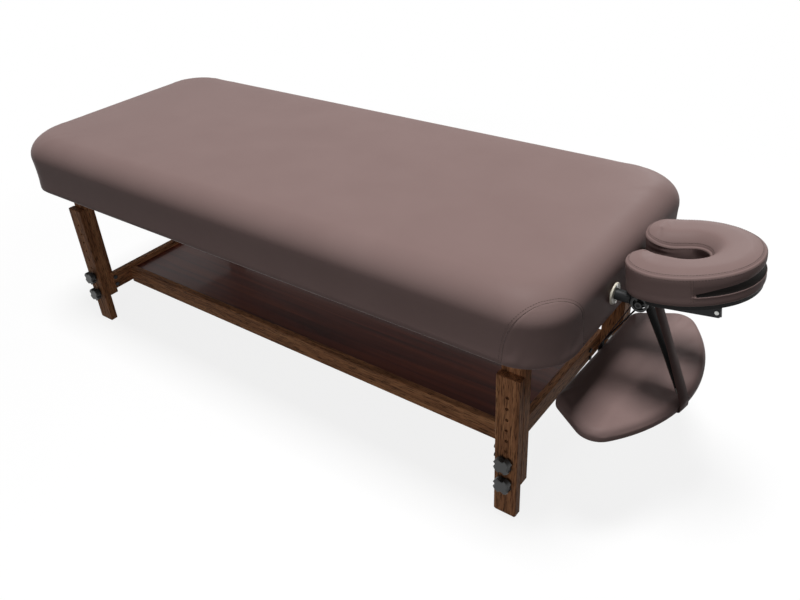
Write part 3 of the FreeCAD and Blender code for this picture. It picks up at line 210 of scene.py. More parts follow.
waveTurns = 20 / math.tau  # bands that the Wave node draws in one unit at scale 1
finishes = {
    # baked powder coat: a fine orange peel that spreads the highlight
    "powderCoatBlack": {
        "tones": [(0.35, "111213"), (0.65, "1a1b1c")], "grain": {"Scale": perMetre / 1.4, "Detail": 3},
        "rough": (0.42, 0.56), "relief": (0.4, 0.06), "sockets": {"Specular IOR Level": 0.25}},
    # moulded ABS: an even sheen over a very fine grain
    "absPlasticBlack": {
        "tones": [(0.35, "1a1a1a"), (0.65, "232323")], "grain": {"Scale": perMetre / 1.1, "Detail": 3},
        "rough": (0.36, 0.46), "relief": (0.4, 0.03), "sockets": {"Specular IOR Level": 0.5}},
    "absPlasticIvory": {
        "tones": [(0.35, "d5cfbd"), (0.65, "e2ddcd")], "grain": {"Scale": perMetre / 6.0, "Detail": 3},
        "rough": (0.3, 0.4), "relief": (0.4, 0.02), "sockets": {"Specular IOR Level": 0.5}},
    "absPlasticGrey": {
        "tones": [(0.35, "73736f"), (0.65, "84847f")], "grain": {"Scale": perMetre / 1.5, "Detail": 3},
        "rough": (0.4, 0.5), "relief": (0.4, 0.03), "sockets": {"Specular IOR Level": 0.4}},
    # board under rolled paint: flat black, slightly uneven
    "paintedBoardBlack": {
        "tones": [(0.35, "0e0d0d"), (0.65, "161515")], "grain": {"Scale": perMetre / 5.0, "Detail": 3},
        "rough": (0.48, 0.6), "relief": (0.4, 0.08), "sockets": {"Specular IOR Level": 0.15}},
    # zinc-plated steel, turned and plated: a bright grey with faint cloudy spangle
    "zincPlatedSteel": {
        "tones": [(0.35, "a3a4a0"), (0.65, "c3c4c1")], "grain": {"Scale": perMetre / 3.0, "Detail": 2},
        "rough": (0.24, 0.38), "sockets": {"Metallic": 1.0}},
    # polypropylene webbing, woven flat: dull black ribs across the strap, drawn twice as wide to show
    "polypropyleneWebbing": {
        "tones": [(0.2, "100f0f"), (0.8, "242221")],
        "grain": {"Scale": perMetre / 4.935 / waveTurns, "Distortion": 0.4},
        "weave": {"bands_direction": "Z"}, "relief": (0.6, 0.3),
        "sockets": {"Roughness": 0.75, "Specular IOR Level": 0.15}},
    # zip tape and coil of woven polyester: near black, with the coil's fine teeth as a rough speckle
    "polyesterZipTape": {
        "tones": [(0.4, "0e0c0b"), (0.7, "221d1b")], "grain": {"Scale": perMetre / 2.2, "Detail": 1},
        "relief": (0.5, 0.4), "sockets": {"Roughness": 0.7, "Specular IOR Level": 0.1}},
    # bonded polyester thread, two-ply: a dark brown with a dry sheen
    "polyesterThread": {
        "tones": [(0.35, "2e1f1c"), (0.65, "443029")], "grain": {"Scale": perMetre / 1.0},
        "sockets": {"Roughness": 0.6}},
}


def makeFinish(name, look):
    material, tree, shader, place = startMaterial(name, **look["sockets"])
    kind = "ShaderNodeTexWave" if "weave" in look else "ShaderNodeTexNoise"
    grain = addNode(tree, kind, look["grain"], {"Vector": place}, **look.get("weave", {})).outputs["Fac"]
    tone = addNode(tree, "ShaderNodeValToRGB", links={"Fac": grain})
    fillRamp(tone, look["tones"])
    tree.links.new(tone.outputs["Color"], shader.inputs["Base Color"])
    if "rough" in look:
        low, high = look["rough"]
        shine = addNode(tree, "ShaderNodeMapRange", {"To Min": low, "To Max": high}, {"Value": grain})
        tree.links.new(shine.outputs["Result"], shader.inputs["Roughness"])
    if "relief" in look:
        strength, depthMm = look["relief"]
        bump = addNode(tree, "ShaderNodeBump", {"Strength": strength, "Distance": depthMm * mm},
                       {"Height": grain})
        tree.links.new(bump.outputs["Normal"], shader.inputs["Normal"])
    return material


finish = {name: makeFinish(name, look) for name, look in finishes.items()}


def dress(material, *names):
    for name in names:
        nodes[name].data.materials.clear()
        nodes[name].data.materials.append(material)


corners = ("head_near", "head_far", "foot_near", "foot_far")
dress(walnut[2], *["inner_leg_" + c for c in corners], *["outer_leg_" + c for c in corners])
dress(walnut[1], "stretcher_head", "stretcher_foot")
dress(walnut[0], "shelf_rail_near", "shelf_rail_far")
dress(mahogany, "shelf_panel")
dress(birch, "deck_panel", "apron_near", "apron_far", "apron_foot", "apron_head", "corner_blocks",
      "deck_ribs", "leg_bearer_head", "leg_bearer_foot", "post_guide")
dress(finish["absPlasticBlack"], "headrest_knob",
      *[f"leg_knob_{c}_{row}" for c in corners for row in ("lower", "upper")])
dress(finish["powderCoatBlack"], "post_near", "post_far", "crossbar", "headrest_arm_near", "headrest_arm_far",
      "arm_cleats", "leg_washers", "stretcher_screws", "rail_screws", "pivot_rod")
dress(finish["paintedBoardBlack"], "headrest_platform", "arm_board")
dress(finish["absPlasticIvory"], "grommets")
dress(finish["absPlasticGrey"], "strap_tabs")
dress(finish["zincPlatedSteel"], "leg_bolts", "bearer_screws", "grommet_screws", "post_pins", "pivot_nut",
      "arm_rivets", "cleat_screws")
print("materials made and set on the rigid nodes")

# Mesh helpers for the soft pieces


def meshPiece(name, points, faces, *materials):
    data = bpy.data.meshes.new(name)
    data.from_pydata([tuple(p) for p in points], [], faces)
    data.validate()
    for material in materials:
        data.materials.append(material)
    data.polygons.foreach_set("use_smooth", [True] * len(data.polygons))
    piece = bpy.data.objects.new(name, data)
    scene.collection.objects.link(piece)
    return piece


def skinRings(ringCount, count):
    # quads between closed rings of the same count, and one cap at each end
    faces = []
    for j in range(ringCount - 1):
        for i in range(count):
            k = (i + 1) % count
            faces.append((j * count + i, j * count + k, (j + 1) * count + k, (j + 1) * count + i))
    faces.append(tuple(range(count - 1, -1, -1)))
    faces.append(tuple(range((ringCount - 1) * count, ringCount * count)))
    return faces


def ringSlice(row, count):
    return slice(row * count, (row + 1) * count)


def faceOutward(piece, split=None):
    # splits the two many-sided caps where asked, so that cloth and subdivision can bend them
    work = bmesh.new()
    work.from_mesh(piece.data)
    if split:
        split(work, faces=[f for f in work.faces if len(f.verts) > 4])
    bmesh.ops.recalc_face_normals(work, faces=work.faces)
    work.to_mesh(piece.data)
    work.free()


def pointsOf(data):
    flat = np.empty(len(data.vertices) * 3)
    data.vertices.foreach_get("co", flat)
    return flat.reshape(-1, 3)


def setPoints(data, points):
    data.vertices.foreach_set("co", np.asarray(points, float).ravel())
    data.update()


def smoothStep(values):
    share = np.clip(values, 0, 1)
    return share * share * (3 - 2 * share)


swelling = {"frames": 20, "quality": 5, "leastMove": 1e-9}


def puff(piece, held, pressure, cap):
    # air pressure swells the cover between the places where it is held, no further than the cap
    rest = pointsOf(piece.data)
    group = piece.vertex_groups.new(name="held")
    for index, weight in enumerate(held):
        if weight > 0:
            group.add([index], float(weight), "REPLACE")
    cloth = piece.modifiers.new("swell", "CLOTH")
    cloth.settings.vertex_group_mass = "held"
    cloth.settings.use_pressure = True
    cloth.settings.uniform_pressure_force = pressure
    cloth.settings.effector_weights.gravity = 0
    cloth.settings.quality = swelling["quality"]
    cloth.point_cache.frame_start = 1
    cloth.point_cache.frame_end = swelling["frames"]
    for step in range(1, swelling["frames"] + 1):
        scene.frame_set(step)
    swollen = piece.evaluated_get(bpy.context.evaluated_depsgraph_get())
    move = pointsOf(swollen.data) - rest
    far = np.linalg.norm(move, axis=1)
    move *= np.minimum(1, cap / np.maximum(far, swelling["leastMove"]))[:, None]
    piece.modifiers.remove(cloth)
    piece.vertex_groups.clear()
    setPoints(piece.data, rest + move)
    scene.frame_set(1)
    print(piece.name, "swelled by up to", round(float(np.minimum(far, cap).max()) / mm, 1), "mm")


def subdivide(piece):
    smooth = piece.modifiers.new("soft", "SUBSURF")
    smooth.levels = 1
    smooth.render_levels = 1


def surfaceOf(piece):
    # the finished surface of a piece, for laying seams and stitches on it
    graph = bpy.context.evaluated_depsgraph_get()
    graph.update()
    return BVHTree.FromObject(piece, graph)


def layOn(surface, points, lift):
    # points dropped onto a surface, lifted off it, with the surface's normal at each
    laid = []
    for point in points:
        spot, normal, _, _ = surface.find_nearest(Vector(point))
        laid.append((spot + normal * lift, normal))
    return laid


# one stitch is a spindle of thread
spindle = {
    "rings": ((0.0, 0.35), (0.25, 1.0), (0.75, 1.0), (1.0, 0.35)),  # place along the stitch, thickness
    "sides": 6,
    "flat": 0.8,
    "dive": 0.5,  # how far its ends go down into the cover
}


def stitchRow(name, laid, look, closed=False):
    # stitches end to end along a line that lies on the cover
    if closed:
        laid = laid + laid[:1]
    trail = np.array([spot for spot, _ in laid])
    facing = np.array([normal for _, normal in laid])
    lengths = [0.0]
    for (a, _), (b, _) in zip(laid, laid[1:]):
        lengths.append(lengths[-1] + (b - a).length)
    reach = np.array(lengths)

    def along(distance):
        spot = Vector([np.interp(distance, reach, trail[:, c]) for c in range(3)])
        normal = Vector([np.interp(distance, reach, facing[:, c]) for c in range(3)])
        return spot, normal.normalized()

    count = max(1, int(reach[-1] / (look["stitch"] + look["gap"])))
    pitch = reach[-1] / count
    sides = spindle["sides"]
    points = []
    faces = []
    for n in range(count):
        start, _ = along(n * pitch)
        end, normal = along(n * pitch + look["stitch"])
        run = (end - start).normalized()
        side = run.cross(normal).normalized()
        first = len(points)
        for share, swell in spindle["rings"]:
            dive = spindle["dive"] if swell < 1 else 0.0
            middle = start.lerp(end, share) - normal * look["thread"] * dive
            for k in range(sides):
                angle = 2 * math.pi * k / sides
                out = side * math.cos(angle) + normal * math.sin(angle) * spindle["flat"]
                points.append(middle + out * (look["thread"] / 2) * swell)
        for face in skinRings(len(spindle["rings"]), sides):
            faces.append(tuple(first + k for k in face))
    return meshPiece(name, points, faces, finish["polyesterThread"])


def arcSpot(middle, radius, degrees):
    way = np.array((math.cos(math.radians(degrees)), math.sin(math.radians(degrees))))
    return np.array(middle) + radius * way, way


def arcStations(arcs, step):
    # a closed outline of arcs and straight runs: each station's place is base + inset * slope
    touching = step * 0.2  # arcs whose ends are closer than this share one station
    base = []
    slope = []
    for index, (middle, radius, shrink, start, end) in enumerate(arcs):
        count = max(2, round(abs(math.radians(end - start)) * radius / step))
        for k in range(count + 1):
            spot, way = arcSpot(middle, radius, start + (end - start) * k / count)
            base.append(spot)
            slope.append(-shrink * way)
        nextMiddle, nextRadius, nextShrink, nextStart, _ = arcs[(index + 1) % len(arcs)]
        goal, way = arcSpot(nextMiddle, nextRadius, nextStart)
        gap = np.linalg.norm(goal - base[-1])
        if gap < touching:
            base.pop()
            slope.pop()
            continue
        steps = int(round(gap / step))
        last, lastSlope = base[-1], slope[-1]
        for k in range(1, steps):
            share = k / steps
            base.append(last * (1 - share) + goal * share)
            slope.append(lastSlope * (1 - share) - nextShrink * way * share)
    return np.array(base), np.array(slope)


def mirrorArcs(half):
    far = [((x, -y), radius, shrink, -end, -start) for (x, y), radius, shrink, start, end in reversed(half)]
    return list(half) + far


def bearing(start, end):
    return math.degrees(math.atan2(end[1] - start[1], end[0] - start[0]))


# Upholstered top: foam and cover as one padded form over the deck, rolled at the edge, turned under to a hem

tableTop = {
    "corner": 115 * mm,
    "cornerEase": 0.12,  # under 1 the corners get rounder towards the top
    "cornerSpare": 10 * mm,  # half of the straight run that is always left between two corners
    "cornerSteps": 16,
    "longSteps": 96,
    "shortSteps": 32,
    "frameRoom": 13.7 * mm,
    "frameFloor": 499.7 * mm,
    "frameClear": 0.4 * mm,
    "hem": 34 * mm,
    "hemTurn": ((30 * mm, 0.0), (12 * mm, 0.0), (5 * mm, 1.5 * mm), (1.5 * mm, 6 * mm)),  # inset, rise
    "hemHold": 0.8,
    "sideDraw": 1.5 * mm,
    "sideDrawPower": 0.8,
    "sideShares": (0.16, 0.32, 0.48, 0.64, 0.82, 1.0),
    "roll": 66 * mm,
    "rollStart": 601 * mm,
    "rollSteps": 12,
    "crown": 2 * mm,  # pressure adds the rest
    "crownShares": (0.12, 0.25, 0.4, 0.55, 0.7, 0.84),
    "pressure": 4.0,
    "cap": 2.5 * mm,
    "boreRadius": 15.9 * mm,
    "boreSides": 48,
    "boreLong": 200 * mm,
    "boreIn": 20 * mm,
}
padLow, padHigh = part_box("pad_cover")
padMiddle = (padLow.x + padHigh.x) / 2
padHalfLong = (padHigh.x - padLow.x) / 2
padHalfWide = (padHigh.y - padLow.y) / 2
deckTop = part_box("deck_panel")[1].z


def topRing(inset, height):
    # starts round the near foot corner, then runs along the near side to the near head corner
    look = tableTop
    radius = min(look["corner"] - look["cornerEase"] * inset, padHalfWide - inset - look["cornerSpare"])
    halfLong = padHalfLong - inset - radius
    halfWide = padHalfWide - inset - radius

    def cornerSpot(sx, sy, degrees):
        angle = math.radians(degrees)
        x = padMiddle + sx * halfLong + radius * math.cos(angle)
        return x, sy * halfWide + radius * math.sin(angle), height

    ring = []
    turns = ((-1, -1, 180), (1, -1, 270), (1, 1, 0), (-1, 1, 90))
    for index, (sx, sy, start) in enumerate(turns):
        for k in range(look["cornerSteps"] + 1):
            ring.append(cornerSpot(sx, sy, start + 90 * k / look["cornerSteps"]))
        last = ring[-1]
        goal = cornerSpot(*turns[(index + 1) % len(turns)])
        steps = look["longSteps"] if index % 2 == 0 else look["shortSteps"]
        for k in range(1, steps):
            ring.append(tuple(a + (b - a) * k / steps for a, b in zip(last, goal)))
    return ring


def topProfile():
    # inset and height of each row, from inside the frame round the hem, up the side and over the roll
    look = tableTop
    low = padLow.z
    inside = [(look["frameRoom"], deckTop + look["frameClear"]), (look["frameRoom"], look["frameFloor"]),
              (look["hem"], look["frameFloor"]), (look["hem"], low + look["frameClear"])]
    hem = [(inset, low + rise) for inset, rise in look["hemTurn"]]
    side = []
    for share in look["sideShares"]:
        draw = look["sideDraw"] * math.sin(math.pi * share) ** look["sideDrawPower"] if share < 1 else 0.0
        side.append((draw, low + (look["rollStart"] - low) * share))
    roll = []
    for k in range(1, look["rollSteps"] + 1):
        angle = math.radians(90 * k / look["rollSteps"])
        inset = look["roll"] * (1 - math.cos(angle))
        roll.append((inset, look["rollStart"] + look["roll"] * math.sin(angle)))
    crown = []
    for share in look["crownShares"]:
        inset = look["roll"] + (padHalfWide - look["roll"]) * share
        lift = look["crown"] * math.sin(math.pi / 2 * share)
        crown.append((inset, look["rollStart"] + look["roll"] + lift))
    return inside + hem + side + roll + crown, len(inside + hem)


profile, heldRows = topProfile()
count = len(topRing(0, 0))
points = [p for inset, height in profile for p in topRing(inset, height)]
top = meshPiece("paddedTop", points, skinRings(len(profile), count), vinyl)
faceOutward(top, bmesh.ops.triangulate)
held = np.zeros(len(top.data.vertices))
held[:heldRows * count] = 1.0
held[ringSlice(heldRows - 1, count)] = tableTop["hemHold"]
puff(top, held, tableTop["pressure"], tableTop["cap"])

# bores for the two headrest posts, under the flanges of the grommets
postLow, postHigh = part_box("post_near")
postY = (postLow.y + postHigh.y) / 2
postZ = (postLow.z + postHigh.z) / 2
for side in (-1, 1):
    bpy.ops.mesh.primitive_cylinder_add(
        vertices=tableTop["boreSides"], radius=tableTop["boreRadius"], depth=tableTop["boreLong"],
        location=(padHigh.x - tableTop["boreIn"], side * abs(postY), postZ), rotation=(0, math.pi / 2, 0))
    drill = bpy.context.object
    bore = top.modifiers.new("bore", "BOOLEAN")
    bore.object = drill
    bore.solver = "EXACT"
    bpy.context.view_layer.update()
    bored = bpy.data.meshes.new_from_object(top.evaluated_get(bpy.context.evaluated_depsgraph_get()))
    top.modifiers.remove(bore)
    old = top.data
    top.data = bored
    bpy.data.meshes.remove(old)
    bpy.data.objects.remove(drill)
top.data.polygons.foreach_set("use_smooth", [True] * len(top.data.polygons))
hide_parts("pad_cover", "foam_core")
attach(top, "frame")
print("padded top made,", len(top.data.vertices), "points")

# Sewn corner patch at the near head corner: an arched panel of the same vinyl, left bare, topstitched
# outside its seam

cornerPatch = {
    "middle": 14 * mm,
    "halfWide": 105 * mm,
    "tall": 157 * mm,
    "power": 2.3,
    "wrap": -9 * mm,
    "rows": 30,
    "columns": 36,
    "rowPower": 1.6,  # the rows lie closer together towards the top of the arch
    "leastHalf": 0.4 * mm,
    "leastHeight": 1 * mm,
    "proud": 0.9 * mm,
    "proudShares": (-0.4, 0.75, 1.0),  # at the edge, one step in, and inside
    "topstitchOut": 6.5 * mm,
    "seamSteps": 160,
    "seamLift": 0.2 * mm,
}
# the real thread is 0.6 mm, drawn thicker so that it shows
stitching = {"stitch": 4.2 * mm, "gap": 1.6 * mm, "thread": 1.3 * mm}
# painted shade: the patch's seam is laid as one unbroken dark cord of thread, which draws the shade in the
# seam's crease along with its stitching
seamShadeCord = {"stitch": 5.0 * mm, "gap": -0.6 * mm, "thread": 1.7 * mm}


def topSpot(s, t):
    # a place on the cover: s along the outline from the middle of the near head corner, t up from the hem
    look = tableTop
    tall = look["rollStart"] - padLow.z
    quarter = math.pi / 2 * look["roll"]
    if t < tall:
        inset, height = 0.0, padLow.z + t
    else:
        angle = min((t - tall) / look["roll"], math.pi / 2)
        inset = look["roll"] * (1 - math.cos(angle)) + max(0, t - tall - quarter)
        height = look["rollStart"] + look["roll"] * math.sin(angle)
    half = look["corner"] * math.pi / 4
    cx = padMiddle + padHalfLong - look["corner"]
    cy = -padHalfWide + look["corner"]
    radius = look["corner"] - inset
    if s < -half:
        return cx + s + half, cy - radius, height
    if s > half:
        return cx + radius, cy + s - half, height
    angle = math.radians(-45) + s / look["corner"]
    return cx + radius * math.cos(angle), cy + radius * math.sin(angle), height


def archSpot(angle, out):
    # the patch's edge, drawn out by a margin
    look = cornerPatch
    c, s = math.cos(angle), math.sin(angle)
    across = math.copysign(abs(c) ** (2 / look["power"]), c) * (look["halfWide"] + out)
    return look["middle"] + across, abs(s) ** (2 / look["power"]) * (look["tall"] + out)


def patchGrid(look):
    grid = []
    for j in range(look["rows"] + 1):
        rise = 1 - (1 - j / look["rows"]) ** look["rowPower"]
        height = look["wrap"] + (look["tall"] - look["wrap"]) * rise
        share = max(0.0, 1 - (max(height, 0) / look["tall"]) ** look["power"]) ** (1 / look["power"])
        half = max(look["halfWide"] * share, look["leastHalf"])
        for i in range(look["columns"] + 1):
            along = look["middle"] + half * (2 * i / look["columns"] - 1)
            grid.append(topSpot(along, max(height, look["leastHeight"])))
    return grid


topSurface = surfaceOf(top)
rows, columns = cornerPatch["rows"], cornerPatch["columns"]
patchPoints = []
for index, (spot, normal) in enumerate(layOn(topSurface, patchGrid(cornerPatch), 0)):
    j, i = divmod(index, columns + 1)
    edge = min(i, columns - i, rows - j, 2)
    patchPoints.append(spot + normal * cornerPatch["proud"] * cornerPatch["proudShares"][edge])
faces = []
for j in range(rows):
    for i in range(columns):
        a = j * (columns + 1) + i
        faces.append((a, a + 1, a + columns + 2, a + columns + 1))
patch = meshPiece("cornerPatch", patchPoints, faces, vinyl)
subdivide(patch)
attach(patch, "frame")
seamSteps = cornerPatch["seamSteps"]
for name, out, kind in (
        ("patchSeamShadeCord", 0.0, seamShadeCord),
        ("patchTopStitch", cornerPatch["topstitchOut"], stitching)):
    line = [topSpot(*archSpot(math.pi * k / seamSteps, out)) for k in range(seamSteps + 1)]
    row = stitchRow(name, layOn(topSurface, line, cornerPatch["seamLift"]), kind)
    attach(row, "frame")
print("corner patch sewn on")

# Face cushion: horseshoe of foam in a sewn vinyl cover, with a seam round the top, two cross seams and a zip
# behind

faceCushion = {
    "tilt": 8.0,
    "pivot": (851 * mm, 0.0, 560 * mm),
    "turn": 5.0,
    "far": 217.8 * mm,
    "long": 262 * mm,
    "farRadius": 129 * mm,
    "sideRadius": 178 * mm,
    "tipRadius": 60 * mm,
    "tipSide": 74 * mm,
    "cornerRadius": 40 * mm,
    "slot": 44 * mm,
    "holeRadius": 36 * mm,
    "holeIn": 114 * mm,
    "holeMargin": 6 * mm,
    "holeFade": 38 * mm,
    "outsideBelow": 0.02,
    "foot": 26.2 * mm,
    "band": 66 * mm,
    "crown": 7.5 * mm,  # pressure adds the rest
    "crownRun": 31.2 * mm,
    "tipRise": 6.5 * mm,  # the prongs are stuffed fuller at their tips
    "tipRun": 75 * mm,
    "dip": 18 * mm,  # the cover is pulled down into the face hole
    "dipAtTips": 0.33,  # a third as far at the tips
    "dipFade": 36 * mm,
    "step": 5.0 * mm,
    "pressure": 4.0,
    "cap": 3.5 * mm,
    "heldRows": 2,
    "seamHold": 0.9,
    "seamBite": (0.35 * mm, 1.12 * mm, 0.35 * mm),
    "stitchLift": 0.3 * mm,
    "crossOut": 2.0,  # degrees from the zip's end to the cross seam
    "crossSpread": 0.45,
}
# inset and height over the foot in mm, row by row from the underside up; the top's heights follow its crown
cushionRowsMm = {
    "under": ((9, 0), (4, 0.3), (1.8, 3), (1.2, 8)),
    "band": ((1.5, 13),),
    "zip": tuple((1.8, rise) for rise in (19, 21.4, 22.4, 23.8, 29.4, 30.8, 31.8, 36)),
    "over": ((1.8, 42), (1.6, 48), (1.4, 55), (1.8, 60), (2.8, 63.2)),
    "seam": ((4.2, 65.2), (5.4, 66.0), (6.8, 66.8)),
}
cushionTopMm = (9.5, 13, 18, 24, 30, 35)
# the flap stands over the zip's groove and opens towards the far end; angles in degrees from the far end,
# about the far circle's middle
cushionZip = {
    "from": 81.0,
    "fade": 3.0,
    "out": (0.4 * mm, 1.4 * mm, 0.6 * mm, -3.4 * mm, -4.6 * mm, -4.2 * mm, -3.6 * mm, -2.0 * mm),
    # rows of the zip: the flap's edge, the tape, what closes up at the ends, and where the gape begins
    "lip": 2,
    "tape": range(2, 6),
    "shut": range(3, 7),
    "gapeFrom": 4,
    "openAtEnd": 0.25,
    "openRun": 30.0,
    "gape": 8 * mm,
    "gapeRun": 60.0,
    "gapeFade": 31 * mm,
}
# slack gathers in soft folds down the hole's wall and in short tucks at the prong tips
cushionSlack = {
    "fold": 1.6 * mm,
    "foldRuns": (17 * mm, 41 * mm),
    "foldLean": 2.4,
    "foldShift": 1.0,
    "tuckAt": -8 * mm,
    "tuckRun": 26 * mm,
    "tucks": (1.6 * mm, -1.2 * mm, 2.2 * mm, -1.2 * mm, 1.8 * mm),
}


def cushionArcs(look):
    far = (look["far"] - look["farRadius"], 0.0)
    tipEnd = look["far"] - look["long"]
    hole = (tipEnd + look["holeIn"], 0.0)
    tip = (tipEnd + look["tipRadius"], look["tipSide"])
    corner = (tipEnd + look["cornerRadius"], look["slot"] / 2 + look["cornerRadius"])
    reachFar = look["sideRadius"] - look["farRadius"]
    reachTip = look["sideRadius"] - look["tipRadius"]
    span = math.dist(far, tip)
    along = (reachFar ** 2 - reachTip ** 2 + span ** 2) / (2 * span)
    across = math.sqrt(reachFar ** 2 - along ** 2)
    unit = ((tip[0] - far[0]) / span, (tip[1] - far[1]) / span)
    side = (far[0] + along * unit[0] - across * unit[1], far[1] + along * unit[1] + across * unit[0])
    farTurn, tipTurn = bearing(side, far), bearing(side, tip)
    flank = math.degrees(math.acos((look["cornerRadius"] + look["holeRadius"]) / math.dist(corner, hole)))
    half = [(far, look["farRadius"], 1, 0, farTurn), (side, look["sideRadius"], 1, farTurn, tipTurn),
            (tip, look["tipRadius"], 1, tipTurn, 180),
            (corner, look["cornerRadius"], 1, 180, bearing(corner, hole) + 360 - flank),
            (hole, look["holeRadius"], -1, bearing(hole, corner) - flank, 0)]
    return mirrorArcs(half), far


cushionOutline, cushionCentre = cushionArcs(faceCushion)
base, slope = arcStations(cushionOutline, faceCushion["step"])
count = len(base)
foot, band = faceCushion["foot"], faceCushion["band"]
bandTop = foot + band
cushionRows = []
firstRow = {}
for part, rowsMm in cushionRowsMm.items():
    firstRow[part] = len(cushionRows)
    cushionRows.extend((inset * mm, foot + rise * mm) for inset, rise in rowsMm)
seamRow = firstRow["seam"] + 1
seamInset = cushionRows[seamRow][0]
crownInset, crownFoot = cushionRows[-1]
for insetMm in cushionTopMm:
    share = (insetMm * mm - crownInset) / faceCushion["crownRun"]
    cushionRows.append((insetMm * mm, crownFoot + faceCushion["crown"] * math.sin(math.pi / 2 * share)))
# 1 along the hole and its slot, fading out round the prong tips, 0 along the outside
tipEnd = faceCushion["far"] - faceCushion["long"]
holeEnd = tipEnd + faceCushion["holeIn"] + faceCushion["holeRadius"] + faceCushion["holeMargin"]
inward = smoothStep((faceCushion["tipSide"] - np.abs(base[:, 1])) / faceCushion["holeFade"])
inward = inward * (base[:, 0] < holeEnd)
outerSide = inward < faceCushion["outsideBelow"]
innerSide = ~outerSide
deeper = smoothStep((base[:, 0] - tipEnd) / faceCushion["tipRun"])
sunken = inward * (faceCushion["dipAtTips"] + (1 - faceCushion["dipAtTips"]) * deeper)
points = []
for inset, height in cushionRows:
    ring = base + inset * slope
    if height < bandTop:
        lower = faceCushion["dip"] * (height - foot) / band
        rise = faceCushion["tipRise"] * (height - foot) / band
    else:
        lower = faceCushion["dip"] * max(0.0, 1 - (inset - seamInset) / faceCushion["dipFade"]) ** 2
        rise = faceCushion["tipRise"]
    heights = height - lower * sunken + rise * (1 - deeper)
    points.extend((x, y, z) for (x, y), z in zip(ring, heights))
cushionFaces = skinRings(len(cushionRows), count)
cushion = meshPiece("faceCushion", points, cushionFaces, vinyl, finish["polyesterZipTape"])
faceOutward(cushion, bmesh.ops.triangulate)
held = np.zeros(len(cushion.data.vertices))
held[:faceCushion["heldRows"] * count] = 1.0
held[ringSlice(seamRow, count)] = faceCushion["seamHold"]
puff(cushion, held, faceCushion["pressure"], faceCushion["cap"])

# the seam bites in, the zip's flap opens, and the slack gathers
shape = pointsOf(cushion.data)
outward = -slope / np.linalg.norm(slope, axis=1)[:, None]
angleAt = np.degrees(np.arctan2(base[:, 1], base[:, 0] - cushionCentre[0]))
fromZipEnd = cushionZip["from"] - np.abs(angleAt)
zipMask = outerSide * np.clip(fromZipEnd / cushionZip["fade"] + 0.5, 0, 1)
zipOpen = np.clip(cushionZip["openAtEnd"] + fromZipEnd / cushionZip["openRun"], 0, 1)
zipFirst = firstRow["zip"]
lipHeight = cushionRows[zipFirst + cushionZip["lip"]][1]
for k, out in enumerate(cushionZip["out"]):
    ring = ringSlice(zipFirst + k, count)
    shape[ring, :2] += outward * (zipMask * out)[:, None]
    if k in cushionZip["shut"]:
        shape[ring, 2] -= zipMask * (1 - zipOpen) * (cushionRows[zipFirst + k][1] - lipHeight)
gape = zipMask * cushionZip["gape"] * np.clip(fromZipEnd / cushionZip["gapeRun"], 0, 1)
gapeTop = cushionRows[firstRow["seam"] - 1][1]
for row in range(zipFirst + cushionZip["gapeFrom"], firstRow["seam"]):
    share = min(1.0, (gapeTop - cushionRows[row][1]) / cushionZip["gapeFade"])
    shape[ringSlice(row, count), 2] += gape * share
for row, depth in enumerate(faceCushion["seamBite"], firstRow["seam"]):
    ring = ringSlice(row, count)
    shape[ring, :2] -= outward * depth
    shape[ring, 2] -= depth
stationRun = np.concatenate([[0], np.cumsum(np.linalg.norm(np.diff(base, axis=0), axis=1))])
shortRun, longRun = cushionSlack["foldRuns"]
for row in range(firstRow["band"], seamRow):
    height = (cushionRows[row][1] - foot) / band
    fold = np.sin(stationRun / shortRun + cushionSlack["foldLean"] * height)
    fold = fold * np.sin(stationRun / longRun + cushionSlack["foldShift"])
    depth = innerSide * cushionSlack["fold"] * (0.5 + 0.5 * fold) * math.sin(math.pi * height)
    shape[ringSlice(row, count), :2] -= outward * depth[:, None]
tipTuck = inward * np.exp(-((base[:, 0] - cushionSlack["tuckAt"]) / cushionSlack["tuckRun"]) ** 2)
for row, depth in enumerate(cushionSlack["tucks"], firstRow["over"]):
    shape[ringSlice(row, count), :2] -= outward * (tipTuck * depth)[:, None]
setPoints(cushion.data, shape)
for face in cushion.data.polygons:
    row, station = divmod(min(face.vertices), count)
    if row - zipFirst in cushionZip["tape"] and len(face.vertices) == 4 and zipMask[station] > 0.5:
        face.material_index = 1
middle = Matrix.Translation((*cushionCentre, 0))
turnPlace = middle @ Matrix.Rotation(math.radians(faceCushion["turn"]), 4, "Z") @ middle.inverted()
tilt = Matrix.Rotation(math.radians(-faceCushion["tilt"]), 4, "Y")
tiltPlace = Matrix.Translation(faceCushion["pivot"]) @ tilt @ turnPlace
cushion.data.transform(tiltPlace)
subdivide(cushion)
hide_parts("face_cushion")
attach(cushion, "headrest")
cushionSurface = surfaceOf(cushion)


def layCushionLine(spots):
    return layOn(cushionSurface, [tiltPlace @ Vector(spot) for spot in spots], faceCushion["stitchLift"])


for name, row in (("cushionStitchTop", seamRow + 2), ("cushionStitchBand", seamRow - 3)):
    stitches = stitchRow(name, layCushionLine(shape[ringSlice(row, count)]), stitching, closed=True)
    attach(stitches, "headrest")
for side in (-1, 1):
    for shift in (-3, 3):
        wanted = side * (cushionZip["from"] + faceCushion["crossOut"]) + shift * faceCushion["crossSpread"]
        station = int(np.argmin(np.where(outerSide, np.abs(angleAt - wanted), np.inf)))
        line = [shape[row * count + station] for row in range(firstRow["band"], firstRow["seam"])]
        stitches = stitchRow(f"cushionCrossStitch_{side}_{shift}", layCushionLine(line), stitching)
        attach(stitches, "headrest")
print("face cushion made,", len(cushion.data.vertices), "points")

# Arm shelf pad: thin foam under vinyl that is drawn tight over the board's edge

